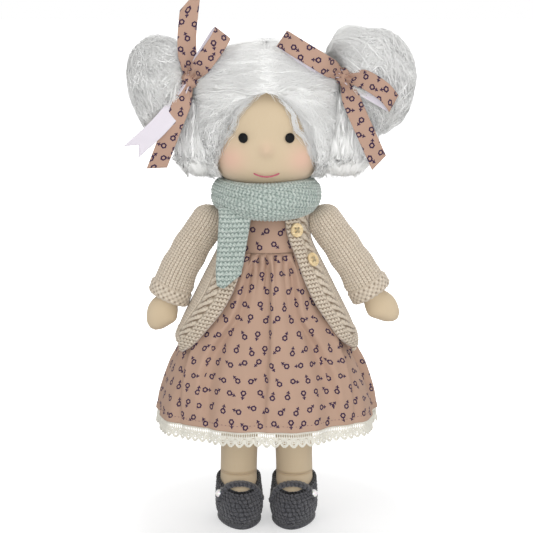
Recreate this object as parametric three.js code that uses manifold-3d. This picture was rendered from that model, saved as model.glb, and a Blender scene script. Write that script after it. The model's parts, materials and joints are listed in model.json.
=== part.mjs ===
// A cloth doll about 38 cm tall to the crown, standing in a dress, cardigan, scarf and crochet shoes.
// Millimetres, +Z up. The doll faces -Y, and its own right hand is on the -X side, named left here
// as it is seen from the front. The origin is on the ground, in the middle of the doll's outline.
import * as THREE from 'three';
import { mergeVertices } from 'three/addons/utils/BufferGeometryUtils.js';
import Module from 'manifold-3d';

const wasm = await Module();
wasm.setup();

// Driving dimensions

const fit = { gap: 0.3, swingGap: 0.5, overrun: 60 };

const sole = { thickness: 3 };
const shoe = { wall: 2.6, rimBack: 34, rimFront: 25, rimRun: 46, rimFrontY: 28 };
const strap = { width: 5, thickness: 2, lean: 10, place: 17 };
const pearl = { radius: 2.9, sink: 0.8, lift: 24 };

const foot = { halfWidth: 16, halfLength: 28, forward: 11 };
const leg = {
  hipHeight: 140, hipSpread: 19.5, ankleSpread: 22.2, ankleHeight: 37, radius: 15.5, skin: 1.2, mouth: 4,
};

const trunk = { height: 118, halfWidth: 38, halfDepth: 28, skin: 1.2, webHalf: 3.3, mouth: 11 };
const joint = { thread: 0.9, legClear: 2.4, legReach: 33, armReach: 50 };

const arm = { shoulderDrop: 20, spread: 44.2, length: 97, radius: 10.4, skin: 1.1, mouth: 4 };
const armPoses = {
  left: { side: -1, tilt: 24, bow: 6 },
  right: { side: 1, tilt: 32, bow: 2 },
};

const head = { height: 95, halfWidth: 44, halfDepth: 43, skin: 1.4, mouth: 9 };
const neckTie = { height: 4.4, thread: 0.8, seat: 17.9 };
const nose = { radius: 4.2, drop: 56, sink: 2.9 };
const eye = { radius: 3.8, thickness: 1.4, spread: 17.3, drop: 47.5 };
const mouth = { halfWidth: 9.4, sag: 2.6, thread: 0.55, drop: 74 };

const wig = { cap: 1.2, hem: 17 };
// Heights of the hair are above the lowest point of the head
const hair = {
  topHeight: 118.7, lowHeight: 13.3, partHeight: 63.7, halfWidth: 60, halfDepth: 50,
  back: 5, faceDepth: 8, rear: 12,
};
const locks = {
  left: { x: 51, height: 37.7, halfWidth: 18, halfDepth: 25, halfHeight: 24 },
  right: { x: 59, height: 39.7, halfWidth: 26, halfDepth: 26, halfHeight: 26 },
};
const bun = { neck: 11, neckLength: 13 };
const buns = {
  left: { x: 55, height: 88.7, length: 51, halfHeight: 36, halfDepth: 30, dip: 16 },
  right: { x: 55, height: 91.7, length: 59, halfHeight: 36, halfDepth: 30, dip: 8 },
};
const hairTie = { thread: 2, out: 5 };

const ribbon = { width: 14, thickness: 1, loopLength: 50 };
const knot = { halfWidth: 6.5, halfDepth: 4, halfHeight: 6.5 };

const dress = { cloth: 0.9, waistDrop: 38, neckDrop: 11 };
const skirt = { length: 133, halfWidth: 86, halfDepth: 67, cloth: 0.9, fold: 2.4, ripple: 1.2 };
const skirtCounts = { folds: 9, ripples: 5, sections: 36 };
const lace = { drop: 10, lap: 4, cloth: 0.9, flare: 1.2 };

const knit = { wall: 2.4 };
const cardigan = {
  drop: 7, length: 115, halfWidth: 75, halfDepth: 58.6, backLength: 104, neckWidth: 26.5, neckDepth: 19.5,
};
const sleeve = { start: 33.5, loose: 3.9, flare: 1.6, end: 62, inside: 12.9 };
const cuff = { length: 9, radius: 16.2 };
const button = {
  radius: 5.5, thickness: 2, rim: 0.9, rimDepth: 0.5, hole: 0.75, holeSpread: 1.5, thread: 0.45, seat: 0.35,
};
// How far each button lies in from the edge of its front, and down from the cardigan's neck
const buttonPlaces = { upper: { inset: 6.1, drop: 17.8 }, lower: { inset: 9.1, drop: 41.4 } };

const scarf = {
  low: 0.4, ringWidth: 35, ringDepth: 35, halfThick: 8.4, halfTall: 11.2, frontDrop: 2.2, rise: 1.2, forward: 2,
  tailWidth: 25, tailThick: 4.6, tailLength: 55, tailLean: 7, tailSide: 24.5,
};

// How many sides each kind of form has

const sideCounts = {
  head: 16, trunk: 14, filling: 8, limb: 12, foot: 12, rod: 10, thread: 6, hair: 18, bun: 14, cardigan: 24,
  sleeve: 12,
  button: 12, stitch: 4, scarf: 22, scarfSection: 8, dome: 3, bead: 8, beadRings: 6, lock: 14, lockRings: 9,
  smile: 8, smileSide: 3,
};

// Places worked out from the driving dimensions

const hipZ = leg.hipHeight;
const neckZ = hipZ + trunk.height;
const shoulderZ = neckZ - arm.shoulderDrop;
const headBase = neckZ + fit.gap;
const footBottom = sole.thickness + fit.gap;
const footHeight = leg.ankleHeight - fit.gap - footBottom;
const waistZ = neckZ - dress.waistDrop;
const cardiganTop = neckZ - cardigan.drop;

const hairTop = headBase + hair.topHeight;
const hairLow = headBase + hair.lowHeight;
const hairPart = headBase + hair.partHeight;
const reach = hairTop + fit.overrun;
const sides = { left: -1, right: 1 };
const radians = THREE.MathUtils.degToRad;

// Materials

const look = (color, roughness) => new THREE.MeshStandardMaterial({ color, roughness, metalness: 0 });
const finish = {
  skin: look('#e6cda8', 0.9),
  wool: look('#f2ead8', 1),
  thread: look('#efe6d2', 0.8),
  eye: look('#0d0d0f', 0.3),
  mouth: look('#c4687a', 0.8),
  hair: look('#f1f0ee', 0.85),
  cap: look('#e9e6e0', 0.95),
  elastic: look('#dcd8d2', 0.8),
  print: look('#b3937e', 0.85),
  ribbon: look('#ab8a78', 0.7),
  lace: look('#f0e9da', 0.9),
  cardigan: look('#c9b9a1', 0.95),
  scarf: look('#b9cdc3', 0.95),
  wood: look('#e9d9b4', 0.5),
  shoe: look('#4c4d52', 0.95),
  pearl: look('#f4f2ee', 0.25),
};

// Solids

function solidFrom(points, faces) {
  let volume = 0;
  const [a, b, c] = [new THREE.Vector3(), new THREE.Vector3(), new THREE.Vector3()];
  for (let i = 0; i < faces.length; i += 3) {
    a.copy(points[faces[i]]);
    b.copy(points[faces[i + 1]]);
    c.copy(points[faces[i + 2]]);
    volume += a.dot(b.cross(c));
  }
  const order = volume < 0 ? faces.map((_, i) => faces[i - (i % 3) + 2 - (i % 3)]) : faces;
  const vertProperties = Float32Array.from(points.flatMap((point) => point.toArray()));
  return new wasm.Manifold(new wasm.Mesh({ numProp: 3, vertProperties, triVerts: Uint32Array.from(order) }));
}

function solidOf(geometry) {
  const plain = geometry.clone();
  plain.deleteAttribute('normal');
  plain.deleteAttribute('uv');
  const merged = mergeVertices(plain);
  const positions = merged.attributes.position;
  const points = [];
  for (let i = 0; i < positions.count; i += 1) {
    points.push(new THREE.Vector3().fromBufferAttribute(positions, i));
  }
  return solidFrom(points, Array.from(merged.index.array));
}

const unite = (solids) => solids.reduce((whole, next) => whole.add(next));
const cut = (solid, ...cutters) => cutters.reduce((rest, cutter) => rest.subtract(cutter), solid);

// Everything on one side of a level or upright plane, as a block that overruns the doll
function beyond(axis, place, side) {
  const low = new THREE.Vector3(-1, -1, -1).multiplyScalar(reach);
  const high = new THREE.Vector3(1, 1, 1).multiplyScalar(reach);
  (side > 0 ? low : high)[axis] = place;
  const size = high.clone().sub(low);
  const middle = low.add(high).divideScalar(2);
  return solidOf(new THREE.BoxGeometry(size.x, size.y, size.z).translate(middle.x, middle.y, middle.z));
}

function rodAlongX(radius, from, to, y, z, sections = sideCounts.thread) {
  const geometry = new THREE.CylinderGeometry(radius, radius, to - from, sections).rotateZ(Math.PI / 2);
  return solidOf(geometry.translate((from + to) / 2, y, z));
}

// A stack of rings closed at both ends by a fan
function loft(rings) {
  const count = rings[0].length;
  const points = rings.flat();
  const faces = [];
  for (let level = 0; level < rings.length - 1; level += 1) {
    faces.push(...band(level * count, (level + 1) * count, count));
  }
  const last = (rings.length - 1) * count;
  for (let i = 0; i < count; i += 1) {
    const next = (i + 1) % count;
    faces.push(next, i, points.length, last + i, last + next, points.length + 1);
  }
  points.push(middleOf(rings[0]), middleOf(rings[rings.length - 1]));
  return solidFrom(points, faces);
}

// A wall between an outer and an inner stack of rings, open at both ends
function openWall(outer, inner) {
  const rings = [...outer, ...inner.slice().reverse()];
  const count = rings[0].length;
  const faces = [];
  for (let level = 0; level < rings.length; level += 1) {
    faces.push(...band(level * count, ((level + 1) % rings.length) * count, count));
  }
  return solidFrom(rings.flat(), faces);
}

function band(low, high, count) {
  const faces = [];
  for (let i = 0; i < count; i += 1) {
    const next = (i + 1) % count;
    faces.push(low + i, low + next, high + next, low + i, high + next, high + i);
  }
  return faces;
}

function middleOf(ring) {
  return ring.reduce((sum, point) => sum.add(point), new THREE.Vector3()).divideScalar(ring.length);
}

function ellipse(centre, halfWidth, halfDepth, sections) {
  return Array.from({ length: sections }, (_, i) => {
    const angle = (i / sections) * 2 * Math.PI;
    const [across, back] = [halfWidth * Math.sin(angle), -halfDepth * Math.cos(angle)];
    return new THREE.Vector3(centre.x + across, centre.y + back, centre.z);
  });
}

// The row of a table of shares at a place given as a share of its first column, on a smooth curve
function rowAt(rows, share) {
  const last = rows.length - 2;
  let index = rows.findIndex((row, i) => i <= last && share <= rows[i + 1][0]);
  if (index < 0) index = last;
  const [from, to] = [rows[index], rows[index + 1]];
  const span = to[0] - from[0];
  const t = THREE.MathUtils.clamp((share - from[0]) / span, 0, 1);
  const slope = (i, k) => {
    const [low, high] = [rows[Math.max(i - 1, 0)], rows[Math.min(i + 1, rows.length - 1)]];
    return (high[k] - low[k]) / (high[0] - low[0]);
  };
  return from.map((value, k) => {
    const [p, q] = [slope(index, k) * span, slope(index + 1, k) * span];
    const rise = to[k] - value;
    return value + t * p + t * t * (3 * rise - 2 * p - q) + t * t * t * (p + q - 2 * rise);
  });
}

// The levels at which a form is built: every row of its table, with steps between
function levelsOf(rows, steps) {
  const levels = [];
  for (let i = 0; i < rows.length - 1; i += 1) {
    for (let k = 0; k < steps; k += 1) levels.push(rows[i][0] + ((rows[i + 1][0] - rows[i][0]) * k) / steps);
  }
  levels.push(rows[rows.length - 1][0]);
  return levels;
}

// Level rings of a stuffed form. Each row holds shares of its height, half width, half depth and forward reach.
function stackRings(form, rows, { steps = 1, sections = 16, grow = 0 } = {}) {
  const middle = form.base + form.height / 2;
  const stretch = 1 + (2 * grow) / Math.abs(form.height);
  return levelsOf(rows, steps).map((level) => {
    const [share, width, depth, forward = 0] = rowAt(rows, level);
    const z = middle + (form.base + share * form.height - middle) * stretch;
    const centre = new THREE.Vector3(form.x ?? 0, (form.y ?? 0) - forward * (form.forward ?? 0), z);
    return ellipse(centre, width * form.halfWidth + grow, depth * form.halfDepth + grow, sections);
  });
}

const stack = (form, rows, options) => loft(stackRings(form, rows, options));

// How far forward a stacked form's surface lies at a place on its front
function frontAt(form, rows, x, z) {
  const [, width, depth] = rowAt(rows, (z - form.base) / form.height);
  return -depth * form.halfDepth * Math.sqrt(1 - (x / (width * form.halfWidth)) ** 2);
}

// Turns a shape that faces up so that it lies on the front of a stacked form
function seatOn(geometry, form, rows, x, z, lift, step) {
  const acrossSlope = (frontAt(form, rows, x + step, z) - frontAt(form, rows, x - step, z)) / (2 * step);
  const upSlope = (frontAt(form, rows, x, z + step) - frontAt(form, rows, x, z - step)) / (2 * step);
  const out = new THREE.Vector3(acrossSlope, -1, upSlope).normalize();
  const turn = new THREE.Quaternion().setFromUnitVectors(new THREE.Vector3(0, 0, 1), out);
  const place = new THREE.Vector3(x, frontAt(form, rows, x, z), z).addScaledVector(out, lift);
  return geometry.clone().applyQuaternion(turn).translate(place.x, place.y, place.z);
}

// A strip of even width and thickness through a list of points, its width along one direction at each point
function strip(points, widths, width, thickness) {
  const rings = points.map((point, i) => {
    const following = points[Math.min(i + 1, points.length - 1)];
    const ahead = following.clone().sub(points[Math.max(i - 1, 0)]).normalize();
    const across = widths[i].clone().addScaledVector(ahead, -widths[i].dot(ahead)).normalize();
    const out = across.clone().cross(ahead);
    return [[1, 1], [-1, 1], [-1, -1], [1, -1]].map(([u, v]) => point.clone()
      .addScaledVector(across, (u * width) / 2).addScaledVector(out, (v * thickness) / 2));
  });
  return loft(rings);
}

const placed = (rings, matrix) => rings.map((ring) => ring.map((point) => point.clone().applyMatrix4(matrix)));

function mesh(name, solid, material, parent) {
  const { vertProperties, triVerts } = solid.getMesh();
  const geometry = new THREE.BufferGeometry();
  geometry.setAttribute('position', new THREE.BufferAttribute(Float32Array.from(vertProperties), 3));
  geometry.setIndex(new THREE.BufferAttribute(Uint32Array.from(triVerts), 1));
  geometry.computeVertexNormals();
  const piece = new THREE.Mesh(geometry, material);
  piece.name = name;
  parent.add(piece);
}

// Trunk: a stuffed cloth body with the limbs strung to it by a thread at the hips and one at the shoulders

const trunkForm = { base: hipZ, height: trunk.height, halfWidth: trunk.halfWidth, halfDepth: trunk.halfDepth };
const trunkShares = [
  [-0.05, 0.3, 0.3],
  [0, 0.7, 0.6],
  [0.05, 0.9, 0.82],
  [0.14, 1, 1],
  [0.3, 0.97, 1],
  [0.5, 0.88, 0.92],
  [0.7, 0.77, 0.82],
  [0.83, 0.725, 0.72],
  [0.91, 0.64, 0.6],
  [0.96, 0.46, 0.52],
  [1, 0.4, 0.52],
];

function trunkSolid(grow, sections = sideCounts.trunk) {
  return stack(trunkForm, trunkShares, { sections, grow });
}

// The space in which both legs swing, left free on each side of the middle web
function legRoom(extra) {
  const radius = leg.radius + joint.legClear + extra;
  const far = trunk.halfWidth + fit.overrun;
  const near = trunk.webHalf - extra;
  return [[-far, -near], [near, far]].map(([from, to]) => rodAlongX(radius, from, to, 0, hipZ, sideCounts.rod));
}

function addTrunk(doll) {
  const hipBore = rodAlongX(joint.thread + fit.gap, -reach, reach, 0, hipZ);
  const shoulderBore = rodAlongX(joint.thread + fit.gap, -reach, reach, 0, shoulderZ);
  const inside = trunkSolid(-trunk.skin);
  const mouth = solidOf(new THREE.CylinderGeometry(trunk.mouth, trunk.mouth, trunk.height, sideCounts.filling)
    .rotateX(Math.PI / 2).translate(0, 0, neckZ));
  const skin = cut(trunkSolid(0), cut(inside, ...legRoom(trunk.skin)), ...legRoom(0), hipBore, shoulderBore,
    mouth.intersect(beyond('z', neckZ - 2 * trunk.skin, 1)));
  const filling = cut(
    trunkSolid(-trunk.skin - fit.gap), ...legRoom(trunk.skin + fit.gap), hipBore, shoulderBore,
  );
  mesh('torso_skin', skin, finish.skin, doll);
  mesh('torso_stuffing', filling, finish.wool, doll);
  mesh('hip_thread', rodAlongX(joint.thread, -joint.legReach, joint.legReach, 0, hipZ), finish.thread, doll);
  mesh('shoulder_thread', rodAlongX(joint.thread, -joint.armReach, joint.armReach, 0, shoulderZ),
    finish.thread, doll);
}

const domeStartShare = 0.35;

// Rings over the round top of a limb, from its pole down to its widest level
function domeRings(radius, sections, steps) {
  return Array.from({ length: steps }, (_, i) => {
    const angle = ((i + domeStartShare) / steps) * (Math.PI / 2);
    const centre = new THREE.Vector3(0, 0, radius * Math.cos(angle));
    return ellipse(centre, radius * Math.sin(angle), radius * Math.sin(angle), sections);
  });
}

// Legs: a stuffed tube from the hip to the seam at the ankle, a stuffed foot and a crochet shoe

const legShares = [
  [0, 1, 1],
  [0.12, 1, 1],
  [0.35, 0.98, 0.98],
  [0.62, 1, 1],
  [0.85, 0.94, 0.94],
  [1, 0.93, 0.93],
];
const footShares = [
  [0, 0.82, 0.86, 0.95],
  [0.15, 0.97, 0.98, 1],
  [0.33, 1, 1, 1],
  [0.52, 0.99, 0.96, 0.88],
  [0.68, 0.96, 0.84, 0.58],
  [0.82, 0.92, 0.68, 0.28],
  [0.92, 0.9, 0.57, 0.09],
  [1, 0.9, 0.515, 0],
];
const soleShares = [[0, 0.9, 0.93], [0.4, 0.95, 0.96], [1, 0.95, 0.96]];
const footForm = { base: footBottom, height: footHeight, ...foot };
footForm.halfDepth = foot.halfLength;

function legSolid(grow, sections) {
  const length = hipZ - leg.ankleHeight;
  const form = { base: 0, height: -length, halfWidth: leg.radius, halfDepth: leg.radius };
  const column = stackRings(form, legShares, { sections, grow });
  const dome = domeRings(leg.radius + grow, sections, sideCounts.dome);
  return loft([...dome, ...column].map((ring) => ring.map((point) => {
    const lean = (leg.ankleSpread - leg.hipSpread) * Math.max(-point.z / length, 0);
    return point.clone().add(new THREE.Vector3(leg.hipSpread + lean, 0, hipZ));
  })));
}

function footSolid(grow, sections = sideCounts.foot) {
  return stack({ ...footForm, x: leg.ankleSpread }, footShares, { sections, grow });
}

// The slanting plane through the shoe's rim: all above it is open
function aboveRim(lift) {
  const tilt = Math.atan2(shoe.rimBack - shoe.rimFront, shoe.rimRun);
  const geometry = new THREE.BoxGeometry(reach, reach, reach).translate(0, 0, reach / 2).rotateX(tilt);
  return solidOf(geometry.translate(leg.ankleSpread, -shoe.rimFrontY, shoe.rimFront + lift));
}

function addLeg(name, side, doll) {
  const mirror = new THREE.Group();
  doll.add(mirror);
  const bore = rodAlongX(joint.thread + fit.gap, 0, joint.legReach + fit.gap, 0, hipZ);
  const mouth = solidOf(new THREE.CylinderGeometry(leg.mouth, leg.mouth, leg.radius, sideCounts.thread)
    .rotateX(Math.PI / 2).translate(leg.hipSpread, 0, hipZ + leg.radius));
  const skin = cut(legSolid(0, sideCounts.limb), legSolid(-leg.skin, sideCounts.filling), mouth, bore);
  const outer = footSolid(fit.gap + shoe.wall);
  const upper = cut(outer, footSolid(fit.gap), aboveRim(0), beyond('z', sole.thickness + fit.gap, -1));
  const soleForm = {
    base: 0, height: sole.thickness, x: leg.ankleSpread, y: -foot.forward,
    halfWidth: foot.halfWidth + shoe.wall, halfDepth: foot.halfLength + shoe.wall,
  };
  const around = cut(footSolid(fit.gap + strap.thickness), footSolid(fit.gap));
  const slab = solidOf(new THREE.BoxGeometry(reach, strap.width, reach).rotateX(radians(strap.lean))
    .translate(0, -strap.place, shoe.rimBack));
  const strapSolid = around.intersect(slab).subtract(solidOf(new THREE.BoxGeometry(reach, reach, reach)
    .translate(0, 0, -reach / 2).rotateX(Math.atan2(shoe.rimBack - shoe.rimFront, shoe.rimRun))
    .translate(0, -shoe.rimFrontY, shoe.rimFront + fit.gap))).subtract(beyond('y', 0, 1));
  const [, width, depth, forward] = rowAt(footShares, (pearl.lift - footBottom) / footHeight);
  const along = (strap.place - forward * foot.forward) / (depth * foot.halfLength + shoe.wall);
  const bulge = (width * foot.halfWidth + fit.gap + shoe.wall) * Math.sqrt(1 - along * along);
  const pearlX = leg.ankleSpread + bulge + pearl.radius - pearl.sink;
  const bead = solidOf(new THREE.SphereGeometry(pearl.radius, sideCounts.bead, sideCounts.beadRings)
    .translate(pearlX, -strap.place, pearl.lift)).subtract(footSolid(2 * fit.gap + shoe.wall));
  const add = (piece, solid, material) => mesh(`${piece}_${name}`, mirrored(solid, side), material, mirror);
  add('leg_skin', skin, finish.skin);
  add('leg_stuffing', cut(legSolid(-leg.skin - fit.gap, sideCounts.filling), bore), finish.wool);
  add('foot', footSolid(0), finish.skin);
  add('shoe_sole', stack(soleForm, soleShares, { sections: sideCounts.foot }), finish.shoe);
  add('shoe_upper', upper, finish.shoe);
  add('shoe_strap', strapSolid, finish.shoe);
  add('shoe_pearl', bead, finish.pearl);
}

function mirrored(solid, side) {
  if (side > 0) return solid;
  const { vertProperties, triVerts } = solid.getMesh();
  const points = [];
  for (let i = 0; i < vertProperties.length; i += 3) {
    points.push(new THREE.Vector3(-vertProperties[i], vertProperties[i + 1], vertProperties[i + 2]));
  }
  return solidFrom(points, Array.from(triVerts));
}

// Arms: a stuffed tube ending in a plain rounded hand, in a knitted sleeve with a turned cuff

const armShares = [
  [0, 1, 1],
  [0.3, 1.04, 1.02],
  [0.6, 0.9, 0.9],
  [0.74, 0.8, 0.8],
  [0.84, 0.99, 0.84],
  [0.92, 0.93, 0.74],
  [0.97, 0.68, 0.54],
  [1, 0.3, 0.24],
];

function armSolid(bow, grow, sections) {
  const form = { base: 0, height: -arm.length, halfWidth: arm.radius, halfDepth: arm.radius };
  const column = stackRings(form, armShares, { sections, grow });
  return bowed([...domeRings(arm.radius + grow, sections, sideCounts.dome), ...column], bow);
}

// Rings about the arm's own line, which bows outward between the shoulder and the hand
function bowed(rings, bow) {
  return loft(rings.map((ring) => ring.map((point) => {
    const share = THREE.MathUtils.clamp(-point.z / arm.length, 0, 1);
    return point.clone().add(new THREE.Vector3(bow * Math.sin(share * Math.PI), 0, 0));
  })));
}

const sleeveShares = [
  [0, 1, 1],
  [0.35, 1.02, 1.02],
  [0.75, 1.06, 1.06],
  [1, 1.08, 1.08],
];

const cuffShares = [[0, 0.97, 0.97], [0.5, 1, 1], [1, 0.97, 0.97]];
const cuffOpeningShares = [[0, 1, 1], [0.5, 1, 1], [1, 1, 1]];

function sleeveRings(radius, from, to) {
  const form = { base: -from, height: from - to, halfWidth: radius, halfDepth: radius };
  return stackRings(form, sleeveShares, { sections: sideCounts.sleeve });
}

function addArm(name, { side, tilt, bow }, doll) {
  const shoulder = new THREE.Matrix4().makeTranslation(arm.spread, 0, shoulderZ)
    .multiply(new THREE.Matrix4().makeRotationY(radians(-tilt)));
  const turned = (solid) => {
    const { vertProperties, triVerts } = solid.getMesh();
    const points = [];
    for (let i = 0; i < vertProperties.length; i += 3) {
      points.push(new THREE.Vector3().fromArray(vertProperties, i).applyMatrix4(shoulder));
    }
    return solidFrom(points, Array.from(triVerts));
  };
  const bore = rodAlongX(joint.thread + fit.gap, 0, joint.armReach + fit.gap, 0, shoulderZ);
  const mouth = solidOf(new THREE.CylinderGeometry(arm.mouth, arm.mouth, arm.radius, sideCounts.thread)
    .rotateX(Math.PI / 2).translate(0, 0, arm.radius));
  const hollow = armSolid(bow, -arm.skin, sideCounts.filling);
  const skin = cut(turned(cut(armSolid(bow, 0, sideCounts.limb), hollow, mouth)), bore);
  const filling = cut(turned(armSolid(bow, -arm.skin - fit.gap, sideCounts.filling)), bore);
  const outerRadius = arm.radius + sleeve.loose;
  const outside = bowed([
    ...domeRings(outerRadius, sideCounts.sleeve, sideCounts.dome),
    ...sleeveRings(outerRadius, 0, sleeve.end),
  ], bow);
  const snug = arm.radius + fit.gap + sleeve.flare / 2;
  const inside = bowed([
    ...domeRings(snug, sideCounts.sleeve, sideCounts.dome),
    ...sleeveRings(snug, 0, sleeve.end / 2),
    ...sleeveRings(sleeve.inside, (3 * sleeve.end) / 4, sleeve.end + fit.overrun / 2),
  ], bow);
  const armhole = beyond('x', sleeve.start, -1);
  const cuffForm = (radius) => ({
    base: -sleeve.end - fit.gap, height: -cuff.length, halfWidth: radius, halfDepth: radius,
  });
  const bend = (rings) => rings.map((ring) => ring.map((point) => point.clone()
    .add(new THREE.Vector3(bow * Math.sin((-point.z / arm.length) * Math.PI), 0, 0))));
  const cuffSolid = openWall(
    bend(stackRings(cuffForm(cuff.radius), cuffShares, { sections: sideCounts.sleeve })),
    bend(stackRings(cuffForm(sleeve.inside), cuffOpeningShares, { sections: sideCounts.sleeve })),
  );
  const add = (piece, solid, material) => mesh(`${piece}_${name}`, mirrored(solid, side), material, doll);
  add('arm_skin', skin, finish.skin);
  add('arm_stuffing', filling, finish.wool);
  add('sleeve', cut(turned(outside), turned(inside), armhole, bore), finish.cardigan);
  add('cuff', turned(cuffSolid), finish.cardigan);
}

// Head: a firm wool ball in a cloth skin, tied off at the neck, with a sewn face

const headForm = { base: headBase, height: head.height, halfWidth: head.halfWidth, halfDepth: head.halfDepth };
const headShares = [
  [0, 0.38, 0.38],
  [0.045, 0.4, 0.4],
  [0.1, 0.62, 0.62],
  [0.2, 0.88, 0.88],
  [0.32, 0.985, 0.98],
  [0.45, 1, 1],
  [0.6, 0.985, 1],
  [0.75, 0.88, 0.92],
  [0.87, 0.69, 0.74],
  [0.95, 0.46, 0.5],
  [1, 0.16, 0.16],
];

// The eye's outline from its middle at the back to its middle in front, as shares of its radius and thickness
const eyeShares = [[0, 0], [1, 0], [0.94, 0.5], [0.7, 0.85], [0, 1]];
const smileShares = [-1, -0.5, 0, 0.5, 1];

const headSolid = (grow) => stack(headForm, headShares, { sections: sideCounts.head, grow });

function addHead(doll) {
  const crown = headBase + head.height;
  const faceAt = (x, z) => frontAt(headForm, headShares, x, z);
  const noseBump = solidOf(new THREE.SphereGeometry(nose.radius, sideCounts.bead, sideCounts.beadRings)
    .translate(0, faceAt(0, crown - nose.drop) + nose.sink, crown - nose.drop));
  const neckMouth = solidOf(new THREE.CylinderGeometry(head.mouth, head.mouth, 4 * head.skin, sideCounts.filling)
    .rotateX(Math.PI / 2).translate(0, 0, headBase));
  const inside = headSolid(-head.skin);
  mesh('head_skin', cut(headSolid(0).add(noseBump), inside, neckMouth), finish.skin, doll);
  mesh('head_core', headSolid(-head.skin - fit.gap), finish.wool, doll);
  const tie = new THREE.TorusGeometry(
    neckTie.seat + fit.gap + neckTie.thread, neckTie.thread, sideCounts.thread, sideCounts.head,
  );
  mesh('neck_tie', cut(solidOf(tie.translate(0, 0, headBase + neckTie.height)), headSolid(fit.gap)),
    finish.thread, doll);
  for (const [name, side] of Object.entries(sides)) {
    const profile = eyeShares.map(([r, h]) => new THREE.Vector2(r * eye.radius, h * eye.thickness));
    const disc = new THREE.LatheGeometry(profile, sideCounts.button).rotateX(Math.PI / 2);
    const seated = seatOn(
      disc, headForm, headShares, side * eye.spread, crown - eye.drop, fit.gap / 2, eye.radius,
    );
    mesh(`eye_${name}`, cut(solidOf(seated), headSolid(fit.gap)), finish.eye, doll);
  }
  const smile = smileShares.map((share) => {
    const [x, z] = [share * mouth.halfWidth, crown - mouth.drop - mouth.sag * (1 - share * share)];
    return new THREE.Vector3(x, faceAt(x, z) - fit.gap - mouth.thread, z);
  });
  const section = new THREE.Shape().absarc(0, 0, mouth.thread, 0, 2 * Math.PI);
  const stitch = new THREE.ExtrudeGeometry(section, {
    extrudePath: new THREE.CatmullRomCurve3(smile), steps: sideCounts.smile, curveSegments: sideCounts.smileSide,
  });
  mesh('mouth_stitch', cut(solidOf(stitch), headSolid(fit.gap)), finish.mouth, doll);
}

// Hair: a sewn cap, then the mass of hair parted into a crown, two side locks and a back, and two tied bunches

const hairForm = {
  base: hairLow, height: hairTop - hairLow, y: hair.back, halfWidth: hair.halfWidth, halfDepth: hair.halfDepth,
};
const hairShares = [
  [0, 0.7, 0.78],
  [0.12, 0.88, 0.93],
  [0.3, 0.98, 1],
  [0.5, 1, 1],
  [0.66, 0.99, 0.98],
  [0.78, 0.94, 0.91],
  [0.88, 0.74, 0.74],
  [0.95, 0.5, 0.5],
  [1, 0.14, 0.14],
];
const faceOutline = { halfWidth: 40, height: 75, lowHeight: 3.7 };
// Half widths of the open face, as shares of its widest, up from the chin to the parting
const faceShares = [[0, 1], [0.4, 0.99], [0.56, 0.83], [0.7, 0.7], [0.85, 0.52], [0.95, 0.27], [1, 0.06]];

function faceOpening(extra) {
  const chin = headBase + faceOutline.lowHeight;
  const right = faceShares.map(([share, width]) => new THREE.Vector2(
    width * faceOutline.halfWidth + extra, chin + share * faceOutline.height + extra,
  ));
  const left = right.map((point) => new THREE.Vector2(-point.x, point.y)).reverse();
  const low = new THREE.Vector2(faceOutline.halfWidth + extra, chin - fit.overrun);
  const outline = new THREE.Shape([...right, ...left, low.clone().setX(-low.x), low]);
  const block = new THREE.ExtrudeGeometry(outline, { depth: fit.overrun, bevelEnabled: false });
  return solidOf(block.rotateX(Math.PI / 2).translate(0, -hair.faceDepth, 0));
}

// A matrix that carries a form built upward onto a line from one place to another
function along(from, to) {
  const ahead = to.clone().sub(from).normalize();
  const turn = new THREE.Quaternion().setFromUnitVectors(new THREE.Vector3(0, 0, 1), ahead);
  return new THREE.Matrix4().compose(from, turn, new THREE.Vector3(1, 1, 1));
}

const bunShares = [
  [0, 0, 0],
  [0.04, 0.36, 0.4],
  [0.13, 0.66, 0.7],
  [0.3, 0.93, 0.94],
  [0.5, 1, 1],
  [0.7, 0.92, 0.93],
  [0.86, 0.7, 0.72],
  [0.96, 0.4, 0.42],
  [1, 0.14, 0.14],
];

function bunFrame(name) {
  const place = buns[name];
  const tie = new THREE.Vector3(place.x, 0, headBase + place.height);
  const tip = new THREE.Vector3(place.x + place.length, 0, tie.z - place.dip);
  return { tie, tip, matrix: along(tie, tip) };
}

function bunSolid(name) {
  const place = buns[name];
  const { matrix } = bunFrame(name);
  const neckFrom = -bun.neckLength - hairTie.out;
  const ballBase = hairTie.out + hairTie.thread;
  const length = place.length - ballBase;
  const neckRings = [neckFrom, hairTie.out, ballBase].map((z) => (
    ellipse(new THREE.Vector3(0, 0, z), bun.neck, bun.neck, sideCounts.bun)
  ));
  const ballRings = levelsOf(bunShares, 1).slice(1).map((share) => {
    const [, tall, deep] = rowAt(bunShares, share);
    const middle = new THREE.Vector3(0, 0, ballBase + share * length);
    return ellipse(middle, Math.max(tall * place.halfHeight, bun.neck), deep * place.halfDepth, sideCounts.bun);
  });
  const last = ellipse(new THREE.Vector3(0, 0, ballBase + length), bun.neck / 2, bun.neck / 2, sideCounts.bun);
  return loft(placed([...neckRings, ...ballRings.slice(0, -1), last], matrix));
}

function tieTorus(name, extra) {
  const radius = bun.neck + fit.gap + hairTie.thread;
  const { matrix } = bunFrame(name);
  const torus = new THREE.TorusGeometry(radius, hairTie.thread + extra, sideCounts.thread, sideCounts.bun);
  return solidOf(torus.translate(0, 0, hairTie.out).applyMatrix4(matrix));
}

function lockSolid({ x, height, halfWidth, halfDepth, halfHeight }, side) {
  const ball = new THREE.SphereGeometry(1, sideCounts.lock, sideCounts.lockRings).rotateX(Math.PI / 2)
    .scale(halfWidth, halfDepth, halfHeight);
  return solidOf(ball.translate(side * x, 0, headBase + height));
}

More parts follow.
